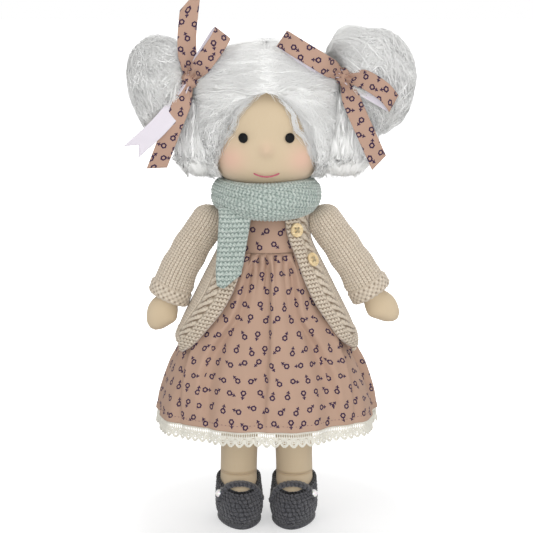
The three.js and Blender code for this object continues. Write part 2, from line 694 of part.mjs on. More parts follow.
function addHair(doll) {
  const capOuter = fit.gap + wig.cap;
  const capLow = beyond('z', headBase + wig.hem, -1);
  mesh('wig_cap', cut(headSolid(capOuter), headSolid(fit.gap), faceOpening(fit.gap), capLow), finish.cap, doll);
  const locksSolid = Object.entries(sides).map(([name, side]) => lockSolid(locks[name], side));
  const below = beyond('z', hairLow, -1);
  const mass = cut(
    unite([stack(hairForm, hairShares, { sections: sideCounts.hair }), ...locksSolid]),
    headSolid(capOuter + fit.gap), faceOpening(0), below,
  );
  const roomFor = (name) => mirrored(tieTorus(name, fit.gap), sides[name]);
  const tieRoom = Object.keys(sides).map(roomFor);
  const half = fit.gap / 2;
  const crown = cut(mass, beyond('z', hairPart + half, -1), ...tieRoom);
  const lower = cut(mass, beyond('z', hairPart - half, 1), ...tieRoom);
  mesh('hair_crown', crown, finish.hair, doll);
  mesh('hair_back', lower.intersect(beyond('y', hair.rear + half, 1)), finish.hair, doll);
  const front = lower.intersect(beyond('y', hair.rear - half, -1));
  const massRoom = unite([
    stack(hairForm, hairShares, { sections: sideCounts.hair, grow: fit.gap }),
    ...Object.entries(sides).map(([name, side]) => lockSolid(grown(locks[name], fit.gap), side)),
  ]);
  for (const [name, side] of Object.entries(sides)) {
    mesh(`hair_side_${name}`, front.intersect(beyond('x', 0, side)), finish.hair, doll);
    mesh(`bun_${name}`, cut(mirrored(bunSolid(name), side), massRoom, roomFor(name)), finish.hair, doll);
    mesh(`hair_tie_${name}`, mirrored(tieTorus(name, 0), side), finish.elastic, doll);
  }
}

function grown(form, extra) {
  const bigger = { ...form };
  for (const key of ['halfWidth', 'halfDepth', 'halfHeight']) bigger[key] += extra;
  return bigger;
}

// Bows: loops and tails of printed ribbon tied over the front of each hair tie. Points are shares of the
// ribbon's loop length to the side, forward and up from the knot.
const bowShares = {
  left: [
    [[0, 0, 0], [-0.02, 0.12, 0.3], [-0.03, 0.16, 0.65], [0.02, 0.1, 1.16]],
    [
      [0, 0, 0], [0.2, 0.3, 0.25], [0.4, 0.34, 0.52], [0.5, 0.24, 0.7],
      [0.44, 0.14, 0.66], [0.22, 0.14, 0.32], [0, 0, 0.02],
    ],
    [[0, 0, 0], [-0.15, 0.16, -0.3], [-0.45, 0.3, -0.66], [-0.8, 0.3, -0.98]],
    [[0, 0, 0], [-0.14, 0.22, -0.4], [-0.32, 0.26, -0.85], [-0.49, 0.2, -1.28]],
  ],
  right: [
    [
      [0, 0, 0], [-0.3, 0.4, 0.2], [-0.68, 0.4, 0.43], [-0.9, 0.28, 0.56],
      [-0.86, 0.22, 0.52], [-0.45, 0.3, 0.24], [0, 0, 0.02],
    ],
    [
      [0, 0, 0], [0.28, 0.3, -0.02], [0.56, 0.44, -0.18], [0.72, 0.38, -0.36],
      [0.68, 0.26, -0.36], [0.4, 0.24, -0.2], [0, 0, -0.02],
    ],
    [[0, 0, 0], [0.14, 0.22, -0.4], [0.34, 0.28, -0.85], [0.53, 0.22, -1.26]],
  ],
};

function addBows(doll) {
  for (const [name, side] of Object.entries(sides)) {
    const tie = bunFrame(name).tie;
    const tieRadius = bun.neck + fit.gap + 2 * hairTie.thread;
    const forward = tieRadius + fit.gap + knot.halfDepth;
    const place = new THREE.Vector3(side * (tie.x + hairTie.out / 2), -forward, tie.z);
    const strips = bowShares[name].map((shares) => {
      const points = shares.map(([across, out, up]) => new THREE.Vector3(across, -out, up)
        .multiplyScalar(ribbon.loopLength).add(place));
      const far = points.reduce((best, point) => (
        point.distanceTo(place) > best.distanceTo(place) ? point : best
      ));
      const width = new THREE.Vector3(far.z - place.z, 0, place.x - far.x).normalize();
      return strip(points, points.map(() => width), ribbon.width, ribbon.thickness);
    });
    const ball = new THREE.SphereGeometry(1, sideCounts.bead, sideCounts.beadRings)
      .scale(knot.halfWidth, knot.halfDepth, knot.halfHeight).translate(place.x, place.y, place.z);
    mesh(`bow_${name}`, unite([solidOf(ball), ...strips]), finish.ribbon, doll);
  }
}

// Dress: a fitted bodice, a gathered skirt that hangs in folds, and lace sewn inside its hem

const skirtShares = [
  [0, 0.376, 0.381],
  [0.05, 0.396, 0.425],
  [0.16, 0.472, 0.496],
  [0.3, 0.582, 0.58],
  [0.45, 0.702, 0.682],
  [0.55, 0.757, 0.735],
  [0.62, 0.813, 0.79],
  [0.7, 0.875, 0.852],
  [0.88, 0.967, 0.955],
  [1, 1, 1],
];

// A level ring of the skirt: an ellipse with folds that deepen towards the hem
function skirtRing(share, grow) {
  const [, width, depth] = rowAt(skirtShares, Math.min(share, 1));
  return Array.from({ length: skirtCounts.sections }, (_, i) => {
    const angle = (i / skirtCounts.sections) * 2 * Math.PI;
    const wave = Math.cos(skirtCounts.folds * angle + Math.PI);
    const ripple = Math.cos(skirtCounts.ripples * angle);
    const swell = grow + share * share * (skirt.fold * wave + skirt.ripple * ripple);
    return new THREE.Vector3(
      (width * skirt.halfWidth + swell) * Math.sin(angle),
      -(depth * skirt.halfDepth + swell) * Math.cos(angle),
      waistZ - fit.gap - share * skirt.length,
    );
  });
}

function addDress(doll) {
  const shoulderBore = rodAlongX(joint.thread + fit.gap, -reach, reach, 0, shoulderZ);
  const bodice = cut(trunkSolid(fit.gap + dress.cloth), trunkSolid(fit.gap), shoulderBore,
    beyond('z', waistZ, -1), beyond('z', neckZ - dress.neckDrop, 1));
  mesh('dress_bodice', bodice, finish.print, doll);
  const levels = levelsOf(skirtShares, 1);
  const wall = (from, to) => openWall(from.map(([share, grow]) => skirtRing(share, grow)),
    to.map(([share, grow]) => skirtRing(share, grow)));
  mesh('dress_skirt', wall(levels.map((share) => [share, 0]), levels.map((share) => [share, -skirt.cloth])),
    finish.print, doll);
  const inset = -skirt.cloth - fit.gap;
  const laceLevels = [
    [1 - lace.lap / skirt.length, inset],
    [1, inset],
    [1 + lace.drop / skirt.length, inset + lace.flare],
  ];
  const laceInside = laceLevels.map(([share, grow]) => [share, grow - lace.cloth]);
  mesh('lace_trim', wall(laceLevels, laceInside), finish.lace, doll);
}

// Cardigan: two fronts that curve away to their corners, a back, and two wooden buttons

const cardiganForm = {
  base: cardiganTop, height: -cardigan.length, halfWidth: cardigan.halfWidth, halfDepth: cardigan.halfDepth,
};
const cardiganShares = [
  [0, 0.333, 0.29],
  [0.015, 0.42, 0.358],
  [0.06, 0.424, 0.42],
  [0.13, 0.43, 0.455],
  [0.2, 0.445, 0.485],
  [0.26, 0.47, 0.52],
  [0.33, 0.52, 0.572],
  [0.46, 0.622, 0.67],
  [0.617, 0.742, 0.77],
  [0.79, 0.873, 0.87],
  [0.913, 0.948, 0.947],
  [1, 1, 1],
];
// The edge of each front from the neck to the corner and out to the side: shares of half width and length
const frontShares = {
  left: [
    [0.13, -0.1], [0.163, 0.095], [0.213, 0.231], [0.273, 0.404], [0.344, 0.538], [0.465, 0.677],
    [0.609, 0.793], [0.776, 0.918], [0.895, 0.976], [0.95, 0.95], [1.2, 0.9], [1.2, -0.1],
  ],
  right: [
    [0.16, -0.1], [0.187, 0.091], [0.229, 0.205], [0.321, 0.345], [0.405, 0.493], [0.517, 0.637],
    [0.637, 0.754], [0.759, 0.867], [0.896, 0.947], [0.967, 0.9], [1.2, 0.88], [1.2, -0.1],
  ],
};

const edgeCount = 9;

const cardiganSolid = (grow) => stack(cardiganForm, cardiganShares, { sections: sideCounts.cardigan, grow });

function frontPrism(name, side) {
  const outline = new THREE.Shape(frontShares[name].map(([across, down]) => new THREE.Vector2(
    side * across * cardigan.halfWidth, cardiganTop - down * cardigan.length,
  )));
  const block = new THREE.ExtrudeGeometry(outline, { depth: reach, bevelEnabled: false }).rotateX(Math.PI / 2);
  return solidOf(block.translate(0, -fit.gap / 2, 0));
}

// How far a place on the right front's edge lies from the doll's middle line
function frontEdge(drop) {
  const rows = frontShares.right.slice(0, edgeCount).map(([across, down]) => [down, across]);
  return rowAt(rows, drop / cardigan.length)[1] * cardigan.halfWidth;
}

function addButton(name, { inset, drop }, room, doll) {
  const x = frontEdge(drop) + inset;
  const { radius, thickness, rim, rimDepth, hole, holeSpread, thread } = button;
  const dish = thickness - rimDepth;
  const profile = [
    [0, 0], [radius - rim / 2, 0], [radius, rim], [radius - rim / 2, thickness], [radius - rim, thickness],
    [radius - 2 * rim, dish], [0, dish],
  ].map(([r, h]) => new THREE.Vector2(r, h));
  const corners = [[1, 1], [-1, 1], [-1, -1], [1, -1]].map(([u, v]) => [u * holeSpread, v * holeSpread]);
  const post = (r, low, high, [u, v], sections) => new THREE.CylinderGeometry(r, r, high - low, sections)
    .rotateX(Math.PI / 2).translate(u, v, (low + high) / 2);
  const bar = (turn) => new THREE.BoxGeometry(2 * Math.SQRT2 * holeSpread + 2 * thread, 2 * thread, 2 * thread)
    .rotateZ(turn).translate(0, 0, dish + fit.gap + thread);
  const seat = button.seat + radius * radius / cardigan.halfWidth;
  const seated = (geometry) => solidOf(
    seatOn(geometry, cardiganForm, cardiganShares, x, cardiganTop - drop, seat, radius),
  );
  const disc = seated(new THREE.LatheGeometry(profile, sideCounts.button).rotateX(Math.PI / 2));
  const holes = corners.map((corner) => seated(post(hole, -thickness, 2 * thickness, corner, sideCounts.thread)));
  const stitches = corners.map((corner) => seated(
    post(thread, -button.seat, dish + fit.gap + thread, corner, sideCounts.stitch),
  ));
  const bars = [Math.PI / 4, -Math.PI / 4].map((turn) => seated(bar(turn)));
  mesh(`button_${name}`, cut(disc, ...holes, room), finish.wood, doll);
  mesh(`button_thread_${name}`, cut(unite([...stitches, ...bars]), room), finish.thread, doll);
}

function addCardigan(doll) {
  const neckTube = new THREE.CylinderGeometry(1, 1, cardigan.length / 2, sideCounts.trunk);
  const neckHole = solidOf(neckTube.rotateX(Math.PI / 2)
    .scale(cardigan.neckWidth, cardigan.neckDepth, 1).translate(0, 0, cardiganTop));
  const shoulderBore = rodAlongX(joint.thread + fit.gap, -reach, reach, 0, shoulderZ);
  const shell = cut(cardiganSolid(0), cardiganSolid(-knit.wall), neckHole, shoulderBore,
    cardiganFloor());
  const backHem = beyond('z', cardiganTop - cardigan.backLength, -1);
  mesh('cardigan_back', cut(shell.intersect(beyond('y', fit.gap / 2, 1)), backHem), finish.cardigan, doll);
  for (const [name, side] of Object.entries(sides)) {
    mesh(`cardigan_front_${name}`, shell.intersect(frontPrism(name, side)), finish.cardigan, doll);
  }
  const room = cardiganSolid(fit.gap);
  for (const [name, place] of Object.entries(buttonPlaces)) addButton(name, place, room, doll);
}

// The inner form's closed lower end, cut away so that the cardigan is open below
function cardiganFloor() {
  return beyond('z', cardiganTop - cardigan.length + 2 * knit.wall, -1);
}

// The space round each shoulder in which the sleeve's round top turns
function shoulderRoom() {
  const radius = arm.radius + sleeve.loose + fit.swingGap;
  return Object.values(sides).map((side) => rodAlongX(
    radius, Math.min(side * sleeve.start, side * reach), Math.max(side * sleeve.start, side * reach),
    0, shoulderZ, sideCounts.scarf,
  ));
}

// Scarf: one knitted strip wrapped round the neck with its end hanging in front

// The end's middle line: shares of its length down, of the ring's depth back, and of its lean
const tailShares = [[-0.1, 0.2, 0], [0.06, 0, 0], [0.4, 0, 0.5], [0.75, 0, 1], [1, -0.05, 1]];

function scarfRing(angle) {
  const [sine, cosine] = [Math.sin(angle), Math.cos(angle)];
  const level = neckZ - scarf.low - scarf.frontDrop * cosine + scarf.rise * sine * sine;
  const centre = new THREE.Vector3(scarf.ringWidth * sine, -scarf.forward - scarf.ringDepth * cosine, level);
  return Array.from({ length: sideCounts.scarfSection }, (_, i) => {
    const turn = (i / sideCounts.scarfSection) * 2 * Math.PI;
    const out = scarf.halfThick * Math.cos(turn);
    return centre.clone().add(new THREE.Vector3(out * sine, -out * cosine, scarf.halfTall * Math.sin(turn)));
  });
}

function addScarf(doll) {
  const rings = Array.from({ length: sideCounts.scarf }, (_, i) => scarfRing((i / sideCounts.scarf) * 2 * Math.PI));
  const wrap = openWall(rings, []);
  const front = -scarf.forward - scarf.ringDepth;
  const hang = tailShares.map(([down, back, lean]) => (
    new THREE.Vector3(-scarf.tailSide - lean * scarf.tailLean, front + back * scarf.ringDepth,
      neckZ - scarf.low - scarf.halfTall - down * scarf.tailLength)
  ));
  const tail = strip(hang, hang.map(() => new THREE.Vector3(1, 0, 0)), scarf.tailWidth, scarf.tailThick);
  const scarfSolid = cut(wrap.add(tail), headSolid(fit.swingGap), cardiganSolid(fit.gap),
    trunkSolid(2 * fit.gap + dress.cloth), ...shoulderRoom());
  mesh('scarf', scarfSolid, finish.scarf, doll);
}

const doll = new THREE.Group();
addTrunk(doll);
addDress(doll);
addCardigan(doll);
addScarf(doll);
addHead(doll);
addHair(doll);
addBows(doll);
for (const [name, pose] of Object.entries(armPoses)) addArm(name, pose, doll);
for (const [name, side] of Object.entries(sides)) addLeg(name, side, doll);

// The whole doll is centred over the origin
const outline = new THREE.Box3().setFromObject(doll);
const middle = outline.getCenter(new THREE.Vector3());
doll.position.set(-middle.x, -middle.y, 0);

export default doll;
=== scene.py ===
"""Looks for a cloth doll with white bunched hair, a printed dress, a cardigan, a scarf and crochet shoes.

Shapes are worked out in millimetres from the doll's middle line, facing -Y, and put in the frame in metres.
Left and right are as seen from the front.
"""

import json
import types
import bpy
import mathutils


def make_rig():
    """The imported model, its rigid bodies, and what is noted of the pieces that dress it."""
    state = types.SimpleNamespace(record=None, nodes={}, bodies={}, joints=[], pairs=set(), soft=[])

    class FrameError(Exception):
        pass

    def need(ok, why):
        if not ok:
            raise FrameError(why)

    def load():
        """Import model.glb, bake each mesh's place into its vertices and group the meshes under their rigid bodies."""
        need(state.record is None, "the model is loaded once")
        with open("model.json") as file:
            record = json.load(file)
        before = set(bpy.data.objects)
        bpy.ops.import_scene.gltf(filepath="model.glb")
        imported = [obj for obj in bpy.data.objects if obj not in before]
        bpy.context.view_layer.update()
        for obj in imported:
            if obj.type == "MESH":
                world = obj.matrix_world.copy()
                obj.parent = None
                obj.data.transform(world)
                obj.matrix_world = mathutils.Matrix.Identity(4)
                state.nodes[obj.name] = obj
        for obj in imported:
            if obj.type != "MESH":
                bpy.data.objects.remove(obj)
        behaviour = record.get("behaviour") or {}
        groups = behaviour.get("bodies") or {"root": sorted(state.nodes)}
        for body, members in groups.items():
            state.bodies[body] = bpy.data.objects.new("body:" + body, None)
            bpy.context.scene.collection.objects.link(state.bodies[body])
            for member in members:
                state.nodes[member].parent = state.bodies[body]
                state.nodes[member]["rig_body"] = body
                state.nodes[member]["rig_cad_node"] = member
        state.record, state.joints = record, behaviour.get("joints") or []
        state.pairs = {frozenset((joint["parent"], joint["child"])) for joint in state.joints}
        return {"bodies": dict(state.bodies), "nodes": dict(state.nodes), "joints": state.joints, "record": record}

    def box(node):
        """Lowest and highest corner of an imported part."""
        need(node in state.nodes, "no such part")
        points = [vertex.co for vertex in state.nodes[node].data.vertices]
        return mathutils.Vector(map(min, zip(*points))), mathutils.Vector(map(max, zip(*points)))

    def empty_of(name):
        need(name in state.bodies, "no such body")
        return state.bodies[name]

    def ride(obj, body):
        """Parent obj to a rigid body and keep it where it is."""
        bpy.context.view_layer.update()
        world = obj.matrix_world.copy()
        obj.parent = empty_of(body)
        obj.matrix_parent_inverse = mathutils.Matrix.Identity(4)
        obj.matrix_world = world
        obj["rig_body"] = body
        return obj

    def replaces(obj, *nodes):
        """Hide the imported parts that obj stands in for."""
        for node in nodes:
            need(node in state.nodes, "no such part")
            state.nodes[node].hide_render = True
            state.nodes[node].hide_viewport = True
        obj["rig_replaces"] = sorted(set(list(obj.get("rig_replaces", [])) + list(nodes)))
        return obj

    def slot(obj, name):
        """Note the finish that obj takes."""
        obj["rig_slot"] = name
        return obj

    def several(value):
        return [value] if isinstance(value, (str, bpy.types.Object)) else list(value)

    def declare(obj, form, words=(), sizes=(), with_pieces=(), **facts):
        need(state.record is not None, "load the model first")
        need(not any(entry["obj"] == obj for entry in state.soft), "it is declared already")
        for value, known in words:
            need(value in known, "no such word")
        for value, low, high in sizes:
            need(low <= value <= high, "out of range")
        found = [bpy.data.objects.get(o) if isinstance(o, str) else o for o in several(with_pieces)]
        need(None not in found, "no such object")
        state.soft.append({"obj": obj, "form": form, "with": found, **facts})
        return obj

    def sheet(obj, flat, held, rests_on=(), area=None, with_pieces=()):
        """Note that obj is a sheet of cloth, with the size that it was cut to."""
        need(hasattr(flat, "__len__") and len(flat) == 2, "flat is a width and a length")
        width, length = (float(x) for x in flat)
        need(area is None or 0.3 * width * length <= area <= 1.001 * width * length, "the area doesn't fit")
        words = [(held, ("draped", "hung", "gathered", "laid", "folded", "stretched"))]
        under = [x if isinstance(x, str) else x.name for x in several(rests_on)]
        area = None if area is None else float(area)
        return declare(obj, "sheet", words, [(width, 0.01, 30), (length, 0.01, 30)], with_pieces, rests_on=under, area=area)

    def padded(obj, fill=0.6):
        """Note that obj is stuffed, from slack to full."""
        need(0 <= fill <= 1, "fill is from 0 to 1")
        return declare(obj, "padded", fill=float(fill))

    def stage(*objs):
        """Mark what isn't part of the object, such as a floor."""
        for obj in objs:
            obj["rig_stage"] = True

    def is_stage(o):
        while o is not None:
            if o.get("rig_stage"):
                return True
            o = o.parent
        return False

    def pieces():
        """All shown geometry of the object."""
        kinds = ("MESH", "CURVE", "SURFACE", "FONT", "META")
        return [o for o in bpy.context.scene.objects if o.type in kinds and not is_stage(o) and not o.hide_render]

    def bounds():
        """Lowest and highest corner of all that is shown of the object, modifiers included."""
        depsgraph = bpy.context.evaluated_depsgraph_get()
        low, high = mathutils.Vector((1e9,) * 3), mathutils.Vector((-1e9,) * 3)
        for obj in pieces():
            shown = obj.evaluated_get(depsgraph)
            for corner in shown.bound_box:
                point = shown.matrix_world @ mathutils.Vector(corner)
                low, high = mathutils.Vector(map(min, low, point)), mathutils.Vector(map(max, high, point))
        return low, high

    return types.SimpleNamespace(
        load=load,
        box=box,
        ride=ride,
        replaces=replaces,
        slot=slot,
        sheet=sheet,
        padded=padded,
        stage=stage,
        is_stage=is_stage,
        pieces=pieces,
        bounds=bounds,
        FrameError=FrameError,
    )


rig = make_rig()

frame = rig.load()

import json
import math

import bpy
import numpy as np
from mathutils import Vector, geometry

CAD_BOX = [list(corner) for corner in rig.bounds()]
RANDOM = np.random.default_rng(7)
MM = 0.001
SIDES = {"left": -1, "right": 1}
TURN = 2 * math.pi


trunk_low, trunk_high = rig.box("torso_skin")
MIDDLE = np.array([(trunk_low.x + trunk_high.x) / 2, (trunk_low.y + trunk_high.y) / 2, 0]) / MM


# Small helpers

def unit(vectors):
    """Vectors along the last axis, each made one unit long."""
    return vectors / np.maximum(np.linalg.norm(vectors, axis=-1, keepdims=True), 1e-9)


def ramp(value, low, high):
    """0 up to low, 1 from high on, and an even rise between them."""
    return np.clip((value - low) / (high - low), 0, 1)


def blunt(wave, power):
    """A sine or cosine raised to a power with its sign kept, which makes a round outline squarer."""
    return np.sign(wave) * np.abs(wave) ** power


def bell(distance, radius):
    return np.exp(-(distance / radius) ** 2)


def angles(count):
    """So many even angles once round, as one row."""
    return (np.arange(count) / count * TURN)[None]


def share_grid(rows, columns, start=0.0, end=1.0):
    """Shares from start to end, one for each row, and angles once round, one for each column."""
    share = np.linspace(start, end, rows)[:, None] + np.zeros((1, columns))
    return share, angles(columns) + 0 * share


# Camera, lights and floor

PHOTO = {"camera": (0, -1200, 430), "target": (0, 0, 201.2), "lens": 105.9}


def at(point):
    """A place in millimetres from the doll's middle line as a vector in the frame."""
    return Vector((np.array(point, float) + MIDDLE) * MM)


def add_camera():
    camera = bpy.data.objects.new("camera", bpy.data.cameras.new("camera"))
    bpy.context.collection.objects.link(camera)
    camera.data.lens = PHOTO["lens"]
    camera.data.sensor_width = 36
    camera.location = at(PHOTO["camera"])
    camera.rotation_euler = (at(PHOTO["target"]) - camera.location).to_track_quat("-Z", "Y").to_euler()
    bpy.context.scene.camera = camera


def add_light(name, place, size, power):
    lamp = bpy.data.lights.new(name, "AREA")
    lamp.size = size
    lamp.energy = power
    light = bpy.data.objects.new(name, lamp)
    bpy.context.collection.objects.link(light)
    light.location = Vector(place)
    light.rotation_euler = (Vector((0, 0, 0.2)) - light.location).to_track_quat("-Z", "Y").to_euler()


def add_studio():
    world = bpy.data.worlds.new("studio")
    bpy.context.scene.world = world
    world.use_nodes = True
    tree = world.node_tree
    tree.nodes.clear()
    seen = white_for_seen_rays(tree)
    fill = tree.nodes.new("ShaderNodeBackground")
    fill.inputs["Strength"].default_value = 0.62
    plain = tree.nodes.new("ShaderNodeBackground")
    mix = tree.nodes.new("ShaderNodeMixShader")
    output = tree.nodes.new("ShaderNodeOutputWorld")
    for background in (fill, plain):
        background.inputs["Color"].default_value = (1, 1, 1, 1)
    tree.links.new(seen, mix.inputs["Fac"])
    tree.links.new(fill.outputs[0], mix.inputs[1])
    tree.links.new(plain.outputs[0], mix.inputs[2])
    tree.links.new(mix.outputs[0], output.inputs["Surface"])
    add_light("key", (-0.9, -1.2, 1.3), 1.0, 5)
    add_light("fill", (1.2, -1.0, 0.7), 1.2, 4)
    add_light("front", (0.1, -1.7, 0.15), 1.2, 18)
    add_light("rim", (0.3, 1.2, 1.1), 1.0, 9)
    bpy.context.scene.view_settings.view_transform = "Standard"


def white_for_seen_rays(tree):
    """1 for rays from the camera and for those that mirror and pass the surroundings."""
    path = tree.nodes.new("ShaderNodeLightPath")
    total = path.outputs["Is Camera Ray"]
    for name in ("Is Glossy Ray", "Is Transmission Ray"):
        add = tree.nodes.new("ShaderNodeMath")
        add.operation = "MAXIMUM"
        tree.links.new(total, add.inputs[0])
        tree.links.new(path.outputs[name], add.inputs[1])
        total = add.outputs[0]
    return total


def add_floor():
    size = 12
    mesh = bpy.data.meshes.new("floor")
    corners = [(-size, -size, 0), (size, -size, 0), (size, size, 0), (-size, size, 0)]
    mesh.from_pydata(corners, [], [(0, 1, 2, 3)])
    floor = bpy.data.objects.new("floor", mesh)
    bpy.context.collection.objects.link(floor)
    material = bpy.data.materials.new("floor")
    material.use_nodes = True
    tree = material.node_tree
    bsdf = tree.nodes["Principled BSDF"]
    bsdf.inputs["Base Color"].default_value = (0.62, 0.62, 0.62, 1)
    bsdf.inputs["Roughness"].default_value = 0.9
    bsdf.inputs["Specular IOR Level"].default_value = 0
    bsdf.inputs["Emission Color"].default_value = (1, 1, 1, 1)
    places = tree.nodes.new("ShaderNodeTexCoord")
    reach = tree.nodes.new("ShaderNodeVectorMath")
    reach.operation = "LENGTH"
    tree.links.new(places.outputs["Object"], reach.inputs[0])
    glow = tree.nodes.new("ShaderNodeMapRange")
    for key, value in (("From Min", 0.1), ("From Max", 0.32), ("To Min", 0.45), ("To Max", 1.0)):
        glow.inputs[key].default_value = value
    tree.links.new(reach.outputs["Value"], glow.inputs["Value"])
    scale = tree.nodes.new("ShaderNodeMath")
    scale.operation = "MULTIPLY"
    tree.links.new(white_for_seen_rays(tree), scale.inputs[0])
    tree.links.new(glow.outputs["Result"], scale.inputs[1])
    tree.links.new(scale.outputs[0], bsdf.inputs["Emission Strength"])
    mesh.materials.append(material)
    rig.stage(floor)


# Forms: level ellipses whose half width, half depth and forward reach follow a table of shares

def smooth(rows, share):
    """Each column of a table of shares on a smooth curve, at places on its first column."""
    rows = [list(row) + [0] * (4 - len(row)) for row in rows]
    table = np.array(rows, float)
    share = np.clip(np.asarray(share, float), table[0, 0], table[-1, 0])
    index = np.clip(np.searchsorted(table[:, 0], share, side="right") - 1, 0, len(table) - 2)
    slopes = np.empty_like(table)
    for i in range(len(table)):
        low, high = table[max(i - 1, 0)], table[min(i + 1, len(table) - 1)]
        slopes[i] = (high - low) / (high[0] - low[0])
    start, end = table[index], table[index + 1]
    span = (end - start)[..., :1]
    t = ((share - start[..., 0]) / span[..., 0])[..., None]
    p, q, rise = slopes[index] * span, slopes[index + 1] * span, end - start
    return start + t * p + t ** 2 * (3 * rise - 2 * p - q) + t ** 3 * (p + q - 2 * rise)


class Form:
    """A stuffed or hung form along Z. Angle 0 is its front and a quarter turn its right."""

    def __init__(self, base, height, half_width, half_depth, rows, x=0, y=0, forward=0):
        self.base, self.height, self.rows = base, height, rows
        self.half_width, self.half_depth = half_width, half_depth
        self.x, self.y, self.forward = x, y, forward

    def point(self, share, angle, grow=0):
        row = smooth(self.rows, share)
        width = row[..., 1] * self.half_width + grow
        depth = row[..., 2] * self.half_depth + grow
        reach = row[..., 3] * self.forward
        z = self.base + np.asarray(share) * self.height
        y = self.y - reach - depth * np.cos(angle)
        return np.stack([self.x + width * np.sin(angle), y, z + 0 * width], -1)

    def front(self, x, z):
        """How far forward the surface lies at a place on its front."""
        row = smooth(self.rows, (z - self.base) / self.height)
        width, depth = row[..., 1] * self.half_width, row[..., 2] * self.half_depth
        inside = np.clip(1 - ((x - self.x) / width) ** 2, 0, 1)
        return self.y - row[..., 3] * self.forward - depth * np.sqrt(inside)


# Meshes

def normals_of(points, around):
    """Unit normals of a grid of points: the way across its columns crossed with the way down its rows."""
    down = np.gradient(points, axis=0)
    if around:
        wide = np.concatenate([points[:, -1:], points, points[:, :1]], 1)
        across = (wide[:, 2:] - wide[:, :-2]) / 2
    else:
        across = np.gradient(points, axis=1)
    return unit(np.cross(across, down))


def grid_faces(rows, columns, around, offset=0, flip=False):
    step = columns if around else columns - 1
    row, column = np.meshgrid(np.arange(rows - 1), np.arange(step), indexing="ij")
    following = (column + 1) % columns
    quads = np.stack([row * columns + column, row * columns + following,
                      (row + 1) * columns + following, (row + 1) * columns + column], -1).reshape(-1, 4)
    return (quads[:, ::-1] if flip else quads) + offset


def ring_faces(rows, columns):
    """Faces of a grid that closes on itself both ways, like a ring."""
    first = np.arange(columns)
    following = (first + 1) % columns
    last = (rows - 1) * columns
    closing = np.stack([first + last, following + last, following, first], -1)
    return np.concatenate([grid_faces(rows, columns, True), closing])


def new_object(name, points, faces, material, uv=None, corner_uv=None, marks=None):
    """A mesh object from points in millimetres. faces is one array or a list of arrays of equal-sided faces.
    uv is a place for each point, corner_uv one for each corner of each face, in metres. marks are numbers
    for the material to read, one for each point."""
    groups = [np.asarray(group) for group in (faces if isinstance(faces, list) else [faces]) if len(group)]
    points = np.asarray(points, float).reshape(-1, 3)
    mesh = bpy.data.meshes.new(name)
    mesh.vertices.add(len(points))
    mesh.vertices.foreach_set("co", ((points + MIDDLE) * MM).astype(np.float32).ravel())
    loops = np.concatenate([group.ravel() for group in groups])
    totals = np.concatenate([np.full(len(group), group.shape[1]) for group in groups])
    mesh.loops.add(len(loops))
    mesh.loops.foreach_set("vertex_index", loops.astype(np.int32))
    mesh.polygons.add(len(totals))
    mesh.polygons.foreach_set("loop_start", (np.cumsum(totals) - totals).astype(np.int32))
    mesh.polygons.foreach_set("loop_total", totals.astype(np.int32))
    mesh.polygons.foreach_set("use_smooth", np.full(len(totals), True))
    if uv is not None:
        corner_uv = np.asarray(uv, float).reshape(-1, 2)[loops]
    if corner_uv is not None:
        layer = mesh.uv_layers.new(name="UVMap")
        layer.data.foreach_set("uv", corner_uv.astype(np.float32).ravel())
    for key, values in (marks or {}).items():
        attribute = mesh.attributes.new(key, "FLOAT", "POINT")
        attribute.data.foreach_set("value", np.asarray(values, np.float32).ravel())
    mesh.update()
    mesh.validate()
    mesh.materials.append(material)
    piece = bpy.data.objects.new(name, mesh)
    bpy.context.collection.objects.link(piece)
    return piece


def finish_piece(piece, body, slot, *nodes):
    if nodes:
        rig.replaces(piece, *nodes)
    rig.slot(piece, slot)
    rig.ride(piece, body)
    return piece


def add_piece(name, points, faces, slot, body, *nodes, look=None, **more):
    """A new piece on its body, in place of the CAD nodes that it stands for. Its material is the one with
    the slot's name, or another that look names."""
    piece = new_object(name, points, faces, MATERIAL[look or slot], **more)
    return finish_piece(piece, body, slot, *nodes)


def shell(outer, inner, around):
    """Points and faces of a closed wall between two like grids, with its rims."""
    rows, columns = outer.shape[:2]
    count = rows * columns
    faces = [grid_faces(rows, columns, around), grid_faces(rows, columns, around, count, True)]
    index = np.arange(count).reshape(rows, columns)

    def rim(edge, flip):
        a, b = edge[:-1], edge[1:]
        if around:
            a, b = edge, np.roll(edge, -1)
        quads = np.stack([b, a, a + count, b + count], -1)
        return quads[:, ::-1] if flip else quads

    faces += [rim(index[0], False), rim(index[-1], True)]
    if not around:
        for edge, flip in ((index[:, 0], True), (index[:, -1], False)):
            quads = np.stack([edge[1:], edge[:-1], edge[:-1] + count, edge[1:] + count], -1)
            faces.append(quads[:, ::-1] if flip else quads)
    return np.concatenate([outer.reshape(-1, 3), inner.reshape(-1, 3)]), np.concatenate(faces)


